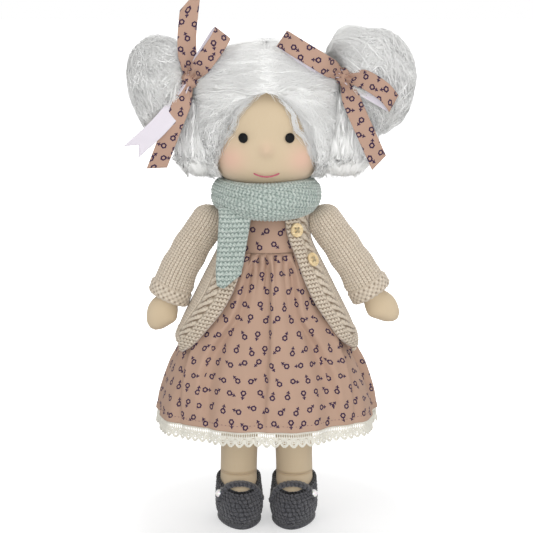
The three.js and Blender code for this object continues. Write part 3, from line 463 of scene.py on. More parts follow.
def tubes(paths, radii, sides=4, taper=0.4):
    """Closed round tubes along paths, an array of strands by points by 3, with one radius or one for each."""
    paths = np.asarray(paths, float)
    count, steps = paths.shape[:2]
    ahead = unit(np.gradient(paths, axis=1))
    aslant = (0.31, -0.42, 0.85)
    side = unit(np.cross(ahead, aslant))
    up = np.cross(side, ahead)
    place = np.linspace(0, 1, steps)
    shape = 1 - (1 - taper) * np.abs(2 * place - 1) ** 6
    radius = np.broadcast_to(np.asarray(radii, float).reshape(-1, 1), (count, 1)) * shape[None]
    turn = angles(sides).T
    ring = side[:, :, None] * np.cos(turn) + up[:, :, None] * np.sin(turn)
    points = paths[:, :, None] + ring * radius[:, :, None, None]
    offsets = (np.arange(count) * steps * sides)[:, None, None]
    body = (grid_faces(steps, sides, True, 0, True)[None] + offsets).reshape(-1, 4)
    near = np.arange(sides)[None] + offsets[:, 0]
    far = near[:, ::-1] + (steps - 1) * sides
    return points.reshape(-1, 3), [body, near, far]


def stretch(path, steps):
    """A smooth curve of so many points through a short list of points, evenly spaced."""
    path = np.asarray(path, float)
    padded = np.concatenate([[2 * path[0] - path[1]], path, [2 * path[-1] - path[-2]]])
    t = np.linspace(0, len(path) - 1, 40 * len(path))
    i = np.clip(t.astype(int), 0, len(path) - 2)
    f = (t - i)[:, None]
    a, b, c, d = padded[i], padded[i + 1], padded[i + 2], padded[i + 3]
    square, cube = 2 * a - 5 * b + 4 * c - d, 3 * b - a - 3 * c + d
    curve = 0.5 * (2 * b + (c - a) * f + square * f ** 2 + cube * f ** 3)
    length = np.concatenate([[0], np.cumsum(np.linalg.norm(np.diff(curve, axis=0), axis=1))])
    even = np.linspace(0, length[-1], steps)
    return np.stack([np.interp(even, length, curve[:, k]) for k in range(3)], -1)


# Materials

def linear(red, green, blue):
    """A colour given as it shows on a screen, from 0 to 255, as Blender's linear colour."""
    def one(value):
        share = value / 255
        return share / 12.92 if share <= 0.04045 else ((share + 0.055) / 1.055) ** 2.4
    return (one(red), one(green), one(blue), 1)


class Shader:
    """A material built from nodes on its Principled BSDF."""

    def __init__(self, name, roughness, **fixed):
        self.material = bpy.data.materials.new(name)
        self.material.use_nodes = True
        self.tree = self.material.node_tree
        self.bsdf = self.tree.nodes["Principled BSDF"]
        self.bsdf.inputs["Roughness"].default_value = roughness
        for key, value in fixed.items():
            self.bsdf.inputs[key.replace("_", " ")].default_value = value
        self.places = self.tree.nodes.new("ShaderNodeTexCoord")

    def feed(self, socket, value):
        if isinstance(value, bpy.types.NodeSocket):
            self.tree.links.new(value, socket)
        else:
            socket.default_value = value

    def math(self, operation, *values):
        node = self.tree.nodes.new("ShaderNodeMath")
        node.operation = operation
        for socket, value in zip(node.inputs, values):
            self.feed(socket, value)
        return node.outputs[0]

    def plus(self, one, other):
        return self.math("ADD", one, other)

    def minus(self, one, other):
        return self.math("SUBTRACT", one, other)

    def times(self, one, other):
        return self.math("MULTIPLY", one, other)

    def clamp(self, value):
        return self.math("MINIMUM", self.math("MAXIMUM", value, 0.0), 1.0)

    def mix(self, share, one, other, blend="MIX"):
        node = self.tree.nodes.new("ShaderNodeMix")
        node.data_type = "RGBA"
        node.blend_type = blend
        for index, value in ((0, share), (6, one), (7, other)):
            self.feed(node.inputs[index], value)
        return node.outputs[2]

    def scaled(self, x, y, z, source="Object"):
        node = self.tree.nodes.new("ShaderNodeMapping")
        node.inputs["Scale"].default_value = (x, y, z)
        self.tree.links.new(self.places.outputs[source], node.inputs["Vector"])
        return node.outputs[0]

    def noise(self, scale, detail=3.0, places=None):
        node = self.tree.nodes.new("ShaderNodeTexNoise")
        node.inputs["Scale"].default_value = scale
        node.inputs["Detail"].default_value = detail
        self.tree.links.new(places or self.places.outputs["Object"], node.inputs["Vector"])
        return node.outputs["Fac"]

    def spread(self, value, low, high):
        """A value mapped so that low becomes 0 and high becomes 1."""
        return self.clamp(self.math("DIVIDE", self.minus(value, low), high - low))

    def attribute(self, name):
        node = self.tree.nodes.new("ShaderNodeAttribute")
        node.attribute_name = name
        return node.outputs["Fac"]

    def color(self, value):
        self.feed(self.bsdf.inputs["Base Color"], value)

    def bump(self, height, distance_mm, strength=1.0):
        node = self.tree.nodes.new("ShaderNodeBump")
        node.inputs["Strength"].default_value = strength
        node.inputs["Distance"].default_value = distance_mm * MM
        self.tree.links.new(height, node.inputs["Height"])
        self.tree.links.new(node.outputs[0], self.bsdf.inputs["Normal"])

    def threads(self, across_mm, along_mm, source="UV"):
        """A plain weave's height from two sets of threads."""
        node = self.tree.nodes.new("ShaderNodeSeparateXYZ")
        scale = [TURN / (across_mm * MM), TURN / (along_mm * MM), 1]
        self.tree.links.new(self.scaled(*scale, source), node.inputs[0])
        one = self.math("SINE", node.outputs[0])
        other = self.math("SINE", node.outputs[1])
        return self.math("MAXIMUM", one, other)


def knit_material(name, base, fleck, shade, roughness=0.95):
    """Wool yarn: melange colour, with painted shade in the hollows between the stitches, and fine fibres."""
    s = Shader(name, roughness, Sheen_Weight=0.35, Sheen_Roughness=0.5, Specular_IOR_Level=0.2)
    melange = s.mix(s.spread(s.noise(800, 5), 0.4, 0.6), linear(*base), linear(*fleck))
    soft = s.mix(s.times(s.noise(60, 2), 0.35), melange, linear(*fleck))
    # Painted shade: the shade colour where the relief mark is low, between the stitches; a piece without that mark
    # reads 0 and takes the shade colour all over.
    s.color(s.mix(s.spread(s.attribute("relief"), 0.05, 0.75), linear(*shade), soft))
    s.bump(s.noise(2600, 5), 0.2, 0.6)
    return s.material


def skin_material():
    """Cotton jersey: fine upright ribs, soft blush on the cheeks and faint unevenness."""
    s = Shader("skin_cotton", 0.85, Sheen_Weight=0.2, Sheen_Roughness=0.6, Specular_IOR_Level=0.25)
    tone = s.mix(s.noise(38, 2), linear(208, 190, 162), linear(201, 181, 150))
    threads = s.noise(1, 2, s.scaled(2600, 2600, 260))
    ribbed = s.mix(s.spread(threads, 0.3, 0.7), tone, linear(204, 184, 154))
    blush = s.mix(s.attribute("blush"), ribbed, linear(234, 186, 168))
    s.color(s.mix(s.attribute("seam"), blush, linear(172, 144, 110)))
    s.bump(threads, 0.12, 0.5)
    return s.material


# The printed motif in millimetres: a scalloped ring above a stem with two leaves
PRINT = {"ring_up": 1.45, "ring": 1.6, "scallop": 0.16, "petals": 6.0, "line": 0.52, "soft": 0.14,
         "stem": 0.4, "stem_y": -1.95, "stem_half": 1.8, "leaf_y": -2.9, "leaf": 1.3, "leaf_slope": 0.8,
         "scatter": 0.24}


def print_mask(s, cell_mm):
    """Small ring flowers on stems, scattered at all angles: 1 on the motif, 0 between."""
    nodes, links = s.tree.nodes, s.tree.links

    def within(value, reach):
        """1 where a value is nearer to 0 than a reach, with a soft edge."""
        return s.spread(s.math("ABSOLUTE", value), reach + PRINT["soft"], reach)

    split = nodes.new("ShaderNodeSeparateXYZ")
    links.new(s.scaled(1 / (cell_mm * MM), 1 / (cell_mm * MM), 1, "UV"), split.inputs[0])
    row = s.math("FLOOR", split.outputs[1])
    across = s.plus(split.outputs[0], s.times(s.math("PINGPONG", row, 1.0), 0.5))
    column = s.math("FLOOR", across)
    cell = nodes.new("ShaderNodeCombineXYZ")
    links.new(column, cell.inputs[0])
    links.new(row, cell.inputs[1])
    chance = nodes.new("ShaderNodeTexWhiteNoise")
    chance.noise_dimensions = "2D"
    links.new(cell.outputs[0], chance.inputs["Vector"])
    parts = nodes.new("ShaderNodeSeparateXYZ")
    links.new(chance.outputs["Color"], parts.inputs[0])
    local = nodes.new("ShaderNodeCombineXYZ")
    for index, (place, whole) in enumerate(((across, column), (split.outputs[1], row))):
        inside = s.minus(s.minus(place, whole), 0.5)
        moved = s.minus(inside, s.times(s.minus(parts.outputs[index], 0.5), PRINT["scatter"]))
        links.new(s.times(moved, cell_mm), local.inputs[index])
    turned = nodes.new("ShaderNodeVectorRotate")
    turned.rotation_type = "Z_AXIS"
    links.new(local.outputs[0], turned.inputs["Vector"])
    links.new(s.times(chance.outputs["Value"], TURN), turned.inputs["Angle"])
    place = nodes.new("ShaderNodeSeparateXYZ")
    links.new(turned.outputs[0], place.inputs[0])
    x, y = place.outputs[0], place.outputs[1]
    high = s.minus(y, PRINT["ring_up"])
    angle = s.math("ARCTAN2", high, x)
    petals = s.times(s.math("COSINE", s.times(angle, PRINT["petals"])), PRINT["scallop"])
    reach = s.math("SQRT", s.plus(s.times(x, x), s.times(high, high)))
    ring = within(s.minus(s.minus(reach, PRINT["ring"]), petals), PRINT["line"])
    stem = s.times(within(x, PRINT["stem"]), within(s.minus(y, PRINT["stem_y"]), PRINT["stem_half"]))
    leaf_line = s.minus(s.minus(y, PRINT["leaf_y"]), s.times(s.math("ABSOLUTE", x), PRINT["leaf_slope"]))
    leaves = s.times(within(leaf_line, PRINT["stem"]), within(x, PRINT["leaf"]))
    return s.math("MAXIMUM", ring, s.math("MAXIMUM", stem, leaves))


def cotton_material(name, base, cell_mm, reverse=None):
    """Woven cotton with a small print. A reverse colour shows, unprinted, where the reverse mark is 1."""
    s = Shader(name, 0.85, Sheen_Weight=0.06, Sheen_Roughness=0.5, Specular_IOR_Level=0.2)
    lighter = [min(value + 12, 255) for value in base]
    ground = s.mix(s.noise(60, 3), linear(*base), linear(*lighter))
    weave = s.threads(0.55, 0.55)
    # Painted shade between the threads: the cloth is 14 darker, lifted toward the ground colour only on the thread
    # crowns.
    between = linear(*[value - 14 for value in base])
    ground = s.mix(s.times(s.spread(weave, 0.2, 1.0), 0.15), between, ground)
    printed = s.mix(print_mask(s, cell_mm), ground, linear(56, 38, 66))
    if reverse:
        printed = s.mix(s.attribute("reverse"), printed, linear(*reverse))
    s.color(printed)
    s.bump(weave, 0.08, 0.5)
    return s.material


def lace_material():
    s = Shader("cotton_lace", 0.85, Sheen_Weight=0.2, Specular_IOR_Level=0.2)
    s.color(s.mix(s.noise(700, 3), linear(237, 235, 226), linear(218, 213, 199)))
    s.bump(s.noise(2400, 3), 0.15, 0.6)
    return s.material


def hair_material():
    """Brushed mohair: white strands, each a little different, with a soft sheen."""
    s = Shader("hair_yarn", 0.6, Sheen_Weight=0.3, Sheen_Roughness=0.4, Specular_IOR_Level=0.3)
    strand = s.mix(s.attribute("tone"), linear(249, 249, 247), linear(255, 255, 254))
    s.color(s.mix(0.25, strand, s.mix(s.noise(90, 3), linear(246, 246, 244), linear(255, 255, 254))))
    s.bump(s.noise(1800, 3), 0.1, 0.4)
    return s.material


def wool_material(name, base):
    s = Shader(name, 0.95, Sheen_Weight=0.3, Specular_IOR_Level=0.15)
    darker = [value - 22 for value in base]
    s.color(s.mix(s.noise(160, 5), linear(*darker), linear(*base)))
    s.bump(s.noise(500, 6), 0.8, 0.8)
    return s.material


def thread_material(name, base):
    """Twisted sewing thread: slanting plies across the run of the thread."""
    s = Shader(name, 0.6, Sheen_Weight=0.2, Specular_IOR_Level=0.3)
    plies = s.noise(1, 1, s.scaled(1500, 1500, 5200))
    # Painted shade in the grooves of the twist: the plies' low places are a fifth darker.
    s.color(s.mix(s.spread(plies, 0.35, 0.65), linear(*[value * 0.8 for value in base]), linear(*base)))
    s.bump(plies, 0.15, 0.6)
    return s.material


def wood_material():
    """Pale turned wood: long grain with darker lines and a satin finish."""
    s = Shader("button_wood", 0.42, Coat_Weight=0.15, Coat_Roughness=0.3)
    grain = s.noise(1, 5, s.scaled(260, 260, 1500))
    warm = s.mix(s.spread(grain, 0.35, 0.65), linear(214, 184, 132), linear(240, 220, 178))
    # Painted shade where the relief mark is below 1; the buttons carry 1 everywhere, so none shows on them.
    s.color(s.mix(s.spread(s.attribute("relief"), 0.0, 1.0), linear(176, 140, 92), warm))
    s.bump(grain, 0.06, 0.4)
    return s.material


def eye_material():
    s = Shader("eye_black", 0.45, Specular_IOR_Level=0.12)
    s.color(s.mix(s.noise(500, 2), linear(6, 6, 8), linear(14, 14, 16)))
    s.bump(s.noise(900, 2), 0.02, 0.2)
    return s.material


def pearl_material():
    s = Shader("pearl", 0.2, Coat_Weight=0.6, Coat_Roughness=0.08, Sheen_Weight=0.2, Subsurface_Weight=0.15,
               Subsurface_Scale=0.002)
    s.color(s.mix(s.noise(260, 2), linear(238, 238, 240), linear(248, 244, 242)))
    s.bump(s.noise(700, 2), 0.02, 0.2)
    return s.material


# By name, without the number that Blender adds where the CAD part has a material of that name
MATERIAL = {material.name.split(".")[0]: material for material in (
    skin_material(),
    wool_material("wool_stuffing", (244, 238, 222)),
    thread_material("thread", (240, 232, 214)),
    thread_material("button_thread", (196, 178, 142)),
    thread_material("mouth_thread", (205, 104, 122)),
    eye_material(),
    hair_material(),
    wool_material("wig_cap", (238, 236, 232)),
    thread_material("hair_elastic", (226, 224, 220)),
    cotton_material("print_cotton", (194, 164, 145), 11.5),
    cotton_material("ribbon_cotton", (196, 164, 146), 9.5, (226, 220, 228)),
    thread_material("dress_thread", (120, 90, 100)),
    lace_material(),
    # The third colour of each knit is its painted shade between the stitches.
    knit_material("cardigan_knit", (224, 212, 195), (205, 191, 172), (120, 102, 82)),
    knit_material("scarf_knit", (210, 217, 211), (160, 174, 167), (92, 107, 101)),
    knit_material("shoe_crochet", (98, 98, 102), (66, 66, 71), (16, 16, 20)),
    wood_material(),
    pearl_material(),
)}


# Stuffed limbs, body and head

HEAD_SHARES = [(0, .38, .38), (.045, .4, .4), (.1, .62, .62), (.2, .88, .88), (.32, .985, .98), (.45, 1, 1),
               (.6, .985, 1), (.75, .88, .92), (.87, .69, .74), (.95, .46, .5), (1, .16, .16)]
TRUNK_SHARES = [(-.05, .3, .3), (0, .7, .6), (.05, .9, .82), (.14, 1, 1), (.3, .97, 1), (.5, .88, .92),
                (.7, .77, .82), (.83, .725, .72), (.91, .64, .6), (.96, .46, .52), (1, .4, .52)]
LEG_SHARES = [(0, 1, 1), (.12, 1, 1), (.35, .98, .98), (.62, 1, 1), (.85, .94, .94), (1, .93, .93)]
ARM_SHARES = [(0, 1, 1), (.3, 1.04, 1.02), (.6, .9, .9), (.74, .8, .8), (.84, .99, .84), (.92, .93, .74),
              (.97, .68, .54), (1, .3, .24)]
FOOT_SHARES = [(0, .82, .86, .95), (.15, .97, .98, 1), (.33, 1, 1, 1), (.52, .99, .96, .88),
               (.68, .96, .84, .58), (.82, .92, .68, .28), (.92, .9, .57, .09), (1, .9, .515, 0)]
HIP = 140
NECK = 258
SHOULDER = {"z": 238, "x": 44.2}
ARMS = {"left": {"tilt": 24, "bow": 6}, "right": {"tilt": 32, "bow": 2}}
ARM = {"length": 97, "radius": 10.4}
HAND = {"start": 0.7, "bend": 6, "wide": [(0.7, 1), (0.78, 1.2), (0.86, 1.1), (0.93, 0.96), (1, 0.9)]}
THUMB = {"share": 0.86, "length": 0.05, "angle": math.radians(300), "rise": 1.6}
LEG = {"spread": 19.5, "ankle_spread": 22.2, "ankle": 37, "radius": 15.5, "room": 2.6, "beside": 3.3}
HEAD = Form(NECK + 0.3, 95, 44, 43, HEAD_SHARES)
TRUNK = Form(HIP, 118, 38, 28, TRUNK_SHARES)
EYE = {"spread": 17.3, "z": 305.8, "radius": 3.8, "rise": 1.5, "socket": 7, "sunk": 0.7}
NOSE = {"z": 296.5, "radius": 4.7, "rise": 3.9}
MOUTH = {"half_width": 9.4, "sag": 2.6, "z": 279.3, "stitches": 5, "thread": 0.62}
CHEEK = {"spread": 22, "z": 286, "radius": 13, "rise": 1.1}
CHIN = {"z": 270, "radius": 9, "rise": 0.8}
BROW = {"z": 306.8, "radius": 9, "sunk": 0.5}
BLUSH = {"spread": 27, "z": 289, "radius": 10.5, "strength": 0.6}
NOSE_BLUSH = {"z": 298, "radius": 5.5, "strength": 0.2}
SEAM_STRENGTH = {"leg": 0.55, "foot": 0.5, "arm": 0.5}


def closed(grid):
    """Points and faces of a closed form from a grid of rings, each end closed by a fan."""
    rows, columns = grid.shape[:2]
    points = np.concatenate([grid.reshape(-1, 3), grid[:1].mean(1), grid[-1:].mean(1)])
    index = np.arange(columns)
    top = np.stack([np.roll(index, -1), index, np.full(columns, rows * columns)], -1)
    low = np.stack([index + (rows - 1) * columns, np.roll(index, -1) + (rows - 1) * columns,
                    np.full(columns, rows * columns + 1)], -1)
    return points, [grid_faces(rows, columns, True), top, low]


def ring_grid(form, rows, columns):
    """A grid of places on a form, with the share and the angle of each."""
    share, angle = share_grid(rows, columns)
    return form.point(share, angle), share, angle


def facing_out(side, *grids):
    """Grids of a mirrored limb, with their columns turned round on the right, so that faces look outward."""
    return [grid[:, ::-1] for grid in grids] if side > 0 else grids


def puff(grid, angle, amount):
    """Moves a grid's places outward by an amount, in millimetres."""
    grid[..., 0] += amount * np.sin(angle)
    grid[..., 1] -= amount * np.cos(angle)


def dome(grid, rise, steps):
    """A round top over the first ring of a grid."""
    centre = grid[0].mean(0)
    turn = np.linspace(0.06, 1, steps + 1)[:-1, None, None] * math.pi / 2
    ring = centre + (grid[0] - centre) * np.sin(turn)
    ring[..., 2] += rise * np.cos(turn[..., 0])
    return np.concatenate([ring, grid])


def add_skin(name, grid, body, node, fill=0.9, **marks):
    """A stuffed skin from a grid of rings. marks are a seam or a blush, as numbers on that grid."""
    ends = np.zeros(2)
    marks = {key: np.concatenate([values.ravel(), ends]) for key, values in marks.items()}
    piece = new_object(name, *closed(grid), MATERIAL["skin_cotton"], marks=marks)
    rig.padded(piece, fill=fill)
    finish_piece(piece, body, "skin_cotton", node)


def add_head():
    grid, _, angle = ring_grid(HEAD, 120, 160)
    x, z = grid[..., 0], grid[..., 2]

    def spot(where, radius):
        """A soft spot on the front, or two where it has a spread to the sides."""
        places = (-where["spread"], where["spread"]) if "spread" in where else (0,)
        return sum(bell(np.hypot(x - place, z - where["z"]), radius) for place in places)

    relief = sum(spot(where, where["radius"]) * where["rise"] for where in (NOSE, CHEEK, CHIN))
    relief = relief - spot(EYE, EYE["socket"]) * EYE["sunk"]
    relief = relief - bell(z - BROW["z"], BROW["radius"]) * BROW["sunk"]
    blush = sum(spot(where, where["radius"]) * where["strength"] for where in (BLUSH, NOSE_BLUSH))
    front = np.cos(angle) > 0
    grid[..., 1] -= np.where(front, relief, 0)
    add_skin("head_cloth", grid, "head", "head_skin", 0.95, blush=np.where(front, blush, 0))


def face_point(x, z, out=0.0):
    return np.array([x, HEAD.front(np.array(float(x)), np.array(float(z))) - out, z])


def face_normal(x, z):
    across = face_point(x + 1, z) - face_point(x - 1, z)
    up = face_point(x, z + 1) - face_point(x, z - 1)
    return unit(np.cross(across, up))


def turned_disc(profile, sides, centre, normal):
    """A lathe form: a profile of radius and height, its axis along a normal at a centre."""
    normal = unit(normal)
    side = unit(np.cross([0, 0, 1], normal))
    up = np.cross(normal, side)
    turn = angles(sides).T
    ring = np.cos(turn) * side + np.sin(turn) * up
    return np.stack([centre + radius * ring + height * normal for radius, height in profile])


def add_face():
    for name, side in SIDES.items():
        radius, edge = EYE["radius"], 0.2
        profile = [(0.02, -0.6), (radius * 0.9, -0.6), (radius, edge)]
        profile += [(max(radius * math.cos(t), 0.02), edge + EYE["rise"] * math.sin(t))
                    for t in np.linspace(0, math.pi / 2, 9)[1:]]
        place = (side * EYE["spread"], EYE["z"])
        grid = turned_disc(profile, 40, face_point(*place), face_normal(*place))
        add_piece("eye_" + name + "_dome", *closed(grid), "eye_black", "head", "eye_" + name)
    stitches = []
    places = np.linspace(-1, 1, MOUTH["stitches"] + 1)
    for start, end in zip(places[:-1], places[1:]):
        share = np.linspace(start - 0.03, end + 0.03, 7)
        x = share * MOUTH["half_width"]
        z = MOUTH["z"] - MOUTH["sag"] * (1 - share ** 2)
        lift = 1.85 + 0.45 * np.sin(np.linspace(0, math.pi, 7))
        stitches.append([face_point(*place) for place in zip(x, z, lift)])
    smile = tubes(stitches, MOUTH["thread"], 8, 0.5)
    add_piece("mouth_stitches", *smile, "mouth_thread", "head", "mouth_stitch")


def add_trunk():
    grid, *_ = ring_grid(TRUNK, 70, 72)
    x, y, z = grid[..., 0], grid[..., 1], grid[..., 2]
    hollow = np.sqrt(np.clip((LEG["radius"] + LEG["room"]) ** 2 - y ** 2, 0, None))
    grid[..., 2] = np.where(np.abs(x) > LEG["beside"], np.maximum(z, HIP + hollow), z)
    add_skin("trunk_cloth", grid, "torso", "torso_skin")


def add_leg(name, side):
    length = HIP - LEG["ankle"]
    form = Form(0, -length, LEG["radius"], LEG["radius"], LEG_SHARES)
    grid, share, angle = ring_grid(form, 120, 72)
    seam = bell((angle - math.pi) * LEG["radius"], 0.5) + bell((1 - share) * length - 0.8, 0.7)
    top = 12
    grid = dome(grid, LEG["radius"], top)
    seam = np.concatenate([np.zeros((top, 72)), seam])
    lean = (LEG["ankle_spread"] - LEG["spread"]) * np.maximum(-grid[..., 2] / length, 0)
    grid[..., 0] = side * (grid[..., 0] + LEG["spread"] + lean)
    grid[..., 2] += HIP
    grid, seam = facing_out(side, grid, SEAM_STRENGTH["leg"] * seam)
    add_skin("leg_cloth_" + name, grid, "leg_" + name, "leg_skin_" + name, seam=seam)


FOOT = {"base": 3.3, "top": 36.7, "half_width": 16, "half_length": 28, "forward": 11}


def foot_form(side):
    return Form(FOOT["base"], FOOT["top"] - FOOT["base"], FOOT["half_width"], FOOT["half_length"],
                FOOT_SHARES, x=side * LEG["ankle_spread"], forward=FOOT["forward"])


def toe_in(points, side):
    """Places on a foot or shoe with the toes turned a little to the middle and drawn to a rounder point."""
    ahead = np.clip((-points[..., 1] - 4) / 34, 0, 1.2)
    centre = side * LEG["ankle_spread"]
    x = centre + (points[..., 0] - centre) * (1 - 0.12 * ahead ** 2) - side * 3.0 * ahead
    return np.stack([x, points[..., 1], points[..., 2]], -1)


def add_foot(name, side):
    grid, share, _ = ring_grid(foot_form(side), 60, 72)
    seam = SEAM_STRENGTH["foot"] * bell((1 - share) * 33 - 0.5, 0.6)
    add_skin("foot_cloth_" + name, toe_in(grid, side), "leg_" + name, "foot_" + name, seam=seam)


def arm_turn(points, side):
    """Points built down from a shoulder at the origin, put in place with that arm's tilt and bow."""
    pose = ARMS["left" if side < 0 else "right"]
    share = np.clip(-points[..., 2] / ARM["length"], 0, 1)
    x = points[..., 0] + pose["bow"] * np.sin(share * math.pi)
    sine, cosine = math.sin(math.radians(pose["tilt"])), math.cos(math.radians(pose["tilt"]))
    return np.stack([side * (cosine * x - sine * points[..., 2] + SHOULDER["x"]), points[..., 1],
                     sine * x + cosine * points[..., 2] + SHOULDER["z"]], -1)


def hand_bend(share):
    """How far the hand leans outward at a share of the arm's length."""
    return HAND["bend"] * ramp(share, HAND["start"], 1) ** 1.5


def bent_stuffing(places, name, side):
    """Places in an arm's stuffing, in metres, moved as the hand's lean moves the skin round them."""
    tilt = math.radians(ARMS[name]["tilt"])
    x = side * (places[:, 0] / MM - MIDDLE[0]) - SHOULDER["x"]
    z = places[:, 2] / MM - SHOULDER["z"]
    bend = hand_bend((x * math.sin(tilt) - z * math.cos(tilt)) / ARM["length"]) * MM
    return places + np.stack([side * bend * math.cos(tilt), 0 * bend, bend * math.sin(tilt)], -1)


def add_arm(name, side):
    form = Form(0, -ARM["length"], ARM["radius"], ARM["radius"], ARM_SHARES)
    grid, share, angle = ring_grid(form, 110, 64)
    beside = np.clip(np.cos(angle - THUMB["angle"]), 0, 1) ** 4
    puff(grid, angle, THUMB["rise"] * bell(share - THUMB["share"], THUMB["length"]) * beside)
    grid[..., 0] = grid[..., 0] * np.interp(share, *zip(*HAND["wide"])) + hand_bend(share)
    seam = SEAM_STRENGTH["arm"] * bell((angle - 1.5 * math.pi) * ARM["radius"], 0.45) * (share < 0.97)
    top = 10
    grid = arm_turn(dome(grid, ARM["radius"], top), side)
    seam = np.concatenate([np.zeros((top, 64)), seam])
    grid, seam = facing_out(side, grid, seam)
    add_skin("arm_cloth_" + name, grid, "arm_" + name, "arm_skin_" + name, seam=seam)


def woolly(node, body, moved=None):
    """Loose wool in the shape of a hidden stuffing solid, a little smaller and uneven."""
    source = frame["nodes"][node]
    mesh = source.data.copy()
    mesh.materials.clear()
    mesh.materials.append(MATERIAL["wool_stuffing"])
    piece = bpy.data.objects.new(node + "_wool", mesh)
    bpy.context.collection.objects.link(piece)
    places = np.array([v.co for v in mesh.vertices]).reshape(-1, 3)
    middle = places.mean(0)
    wave = np.sin(places @ np.array([[900, 300, 500]]).T) * 0.004
    places = middle + (places - middle) * (0.985 - np.abs(wave))
    if moved:
        places = moved(places)
    mesh.vertices.foreach_set("co", places.astype(np.float32).ravel())
    mesh.update()
    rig.padded(piece, fill=0.8)
    finish_piece(piece, body, "wool_stuffing", node)


def carried_over(node, material):
    """A CAD node that stays, with a better material."""
    for slot in frame["nodes"][node].material_slots:
        slot.material = MATERIAL[material]


# Dress: bodice, gathered skirt and lace

SKIRT = {"waist": 215.8, "length": 129.1, "half_width": 86, "half_depth": 67, "cloth": 0.9, "folds": 9,
         "fold_depth": 2.2, "ripples": 5, "ripple_depth": 1.2, "creases": 23, "crease_depth": 0.6,
         "pleats": 13, "pleat_depth": 5.2, "hem": 0.97, "seam": 0.966, "stitches": 170}
SKIRT_SHARES = [(0, .376, .381), (.05, .396, .425), (.16, .472, .496), (.3, .582, .58), (.45, .702, .682),
                (.55, .757, .735), (.62, .813, .79), (.7, .875, .852), (.88, .967, .955), (1, 1, 1)]
PANEL_EDGES = np.radians([40, 80, 120, 160, 200, 240, 280, 320])
LACE = {"lap": 4.0, "band": 1.2, "cord": 4.6, "fan": 6.4, "repeats": 80, "flare": 1.2, "thread": 0.36,
        "edge": 0.5, "arcs": (2.2, 3.9)}


# Each fold's line down the skirt as shares of its drop and angles from the front, its depth in millimetres,
# and the side of its line that stands out
FOLDS = [
    ([(0, .1), (.5, .05), (.9, 0)], 3.2, 1),
    ([(0, -.3), (.1, -.41), (.35, -.47), (.6, -.72), (1, -.6)], 3.4, -1),
    ([(.3, -1.12), (.6, -1.0), (1, -.86)], 3.0, 1),
    ([(0, .52), (.1, .62), (.35, .5), (.57, .7), (1, .76)], 3.4, 1),
    ([(.3, 1.1), (.6, 1.0), (1, .88)], 3.0, -1),
    ([(0, 1.45), (1, 1.62)], 3.2, 1),
    ([(0, 2.2), (1, 2.05)], 3.2, -1),
    ([(0, 2.9), (1, 2.7)], 3.0, 1),
    ([(0, 3.6), (1, 3.72)], 3.2, -1),
    ([(0, 4.3), (1, 4.42)], 3.2, 1),
]
FOLD = {"edge": 0.034, "reach": 0.2, "deepen": 2.85}
BODICE = (216, 247)


def fold_relief(share, angle):
    """Lapped folds: the cloth steps back at each fold's edge and comes forward again beside it."""
    total = 0
    rise = 0.5 * FOLD["deepen"] * ramp(share, 0, 0.06) * (1 - 0.7 * ramp(share, 0.7, 1))
    for rows, depth, side in FOLDS:
        away = np.mod(angle - smooth(rows, share)[..., 1] + math.pi, TURN) - math.pi
        step = np.tanh(side * away / FOLD["edge"])
        step = np.where(step > 0, 0.6, 1.4) * step
        first = rows[0][0]
        start = ramp(share, first, first + 0.15) if first > 0 else 1
        total = total + depth * rise * start * step * np.exp(-np.abs(away) / FOLD["reach"])
    return total


def skirt_points(share, angle, grow=0.0):
    """The skirt's cloth: folds that deepen to the hem, with fine gathers that fade below the waist."""
    row = smooth(SKIRT_SHARES, np.minimum(share, 1))
    main = SKIRT["fold_depth"] * np.cos(SKIRT["folds"] * angle + math.pi)
    main = main + SKIRT["ripple_depth"] * np.cos(SKIRT["ripples"] * angle)
    swell = share ** 2 * main + fold_relief(share, angle) * ramp(share, 0, 0.1)
    creases = np.cos(SKIRT["creases"] * angle + 2.0 * np.sin(2 * angle))
    swell = swell + SKIRT["crease_depth"] * share * creases
    fade = np.exp(-share / (0.1 + 0.04 * np.sin(3 * angle + 1)))
    pleat = np.abs(np.sin(SKIRT["pleats"] * angle + 1.1 * np.sin(4 * angle) + 2 * share)) ** 0.7
    swell = swell + fade * (1 - np.exp(-share / 0.008)) * SKIRT["pleat_depth"] * (pleat - 0.36)
    hem = 0.45 / (1 + np.exp(-(share - SKIRT["hem"]) * 500)) - 0.35 * bell(share - 0.967, 0.004)
    width = row[..., 1] * SKIRT["half_width"] + swell + hem + grow
    depth = row[..., 2] * SKIRT["half_depth"] + swell + hem + grow
    z = SKIRT["waist"] - share * SKIRT["length"]
    return np.stack([width * np.sin(angle), -depth * np.cos(angle), z + 0 * width], -1)


def panel_uv(faces, grid, edges):
    """Corner places in metres: across from the middle of each panel of cloth, and down from the top."""
    rows, columns = grid.shape[:2]
    step = np.linalg.norm(np.roll(grid, -1, 1) - grid, axis=-1)
    across = np.concatenate([np.zeros((rows, 1)), np.cumsum(np.tile(step, (1, 2)), 1)], 1)
    fall = np.concatenate([[0], np.cumsum(np.linalg.norm(np.diff(grid[:, 0], axis=0), axis=-1))])
    index = faces % (rows * columns)
    row, column = index // columns, index % columns
    wraps = (column.max(1) - column.min(1)) > columns / 2
    column = np.where(wraps[:, None] & (column < columns / 2), column + columns, column)
    angle = np.mod(column.mean(1) / columns * TURN, TURN)
    panel = np.searchsorted(edges, angle) % len(edges)
    starts = np.concatenate([[edges[-1] - TURN], edges[:-1]])
    centre = (starts + edges) / 2
    centre_column = np.round(centre[panel] / TURN * columns).astype(int)
    first = np.where(panel == 0, np.where(angle > math.pi, columns, 0), centre_column)
    u = across[row, column] - across[row, first[:, None]]
    return np.stack([u + 40 * panel[:, None], fall[row]], -1).reshape(-1, 2) * MM


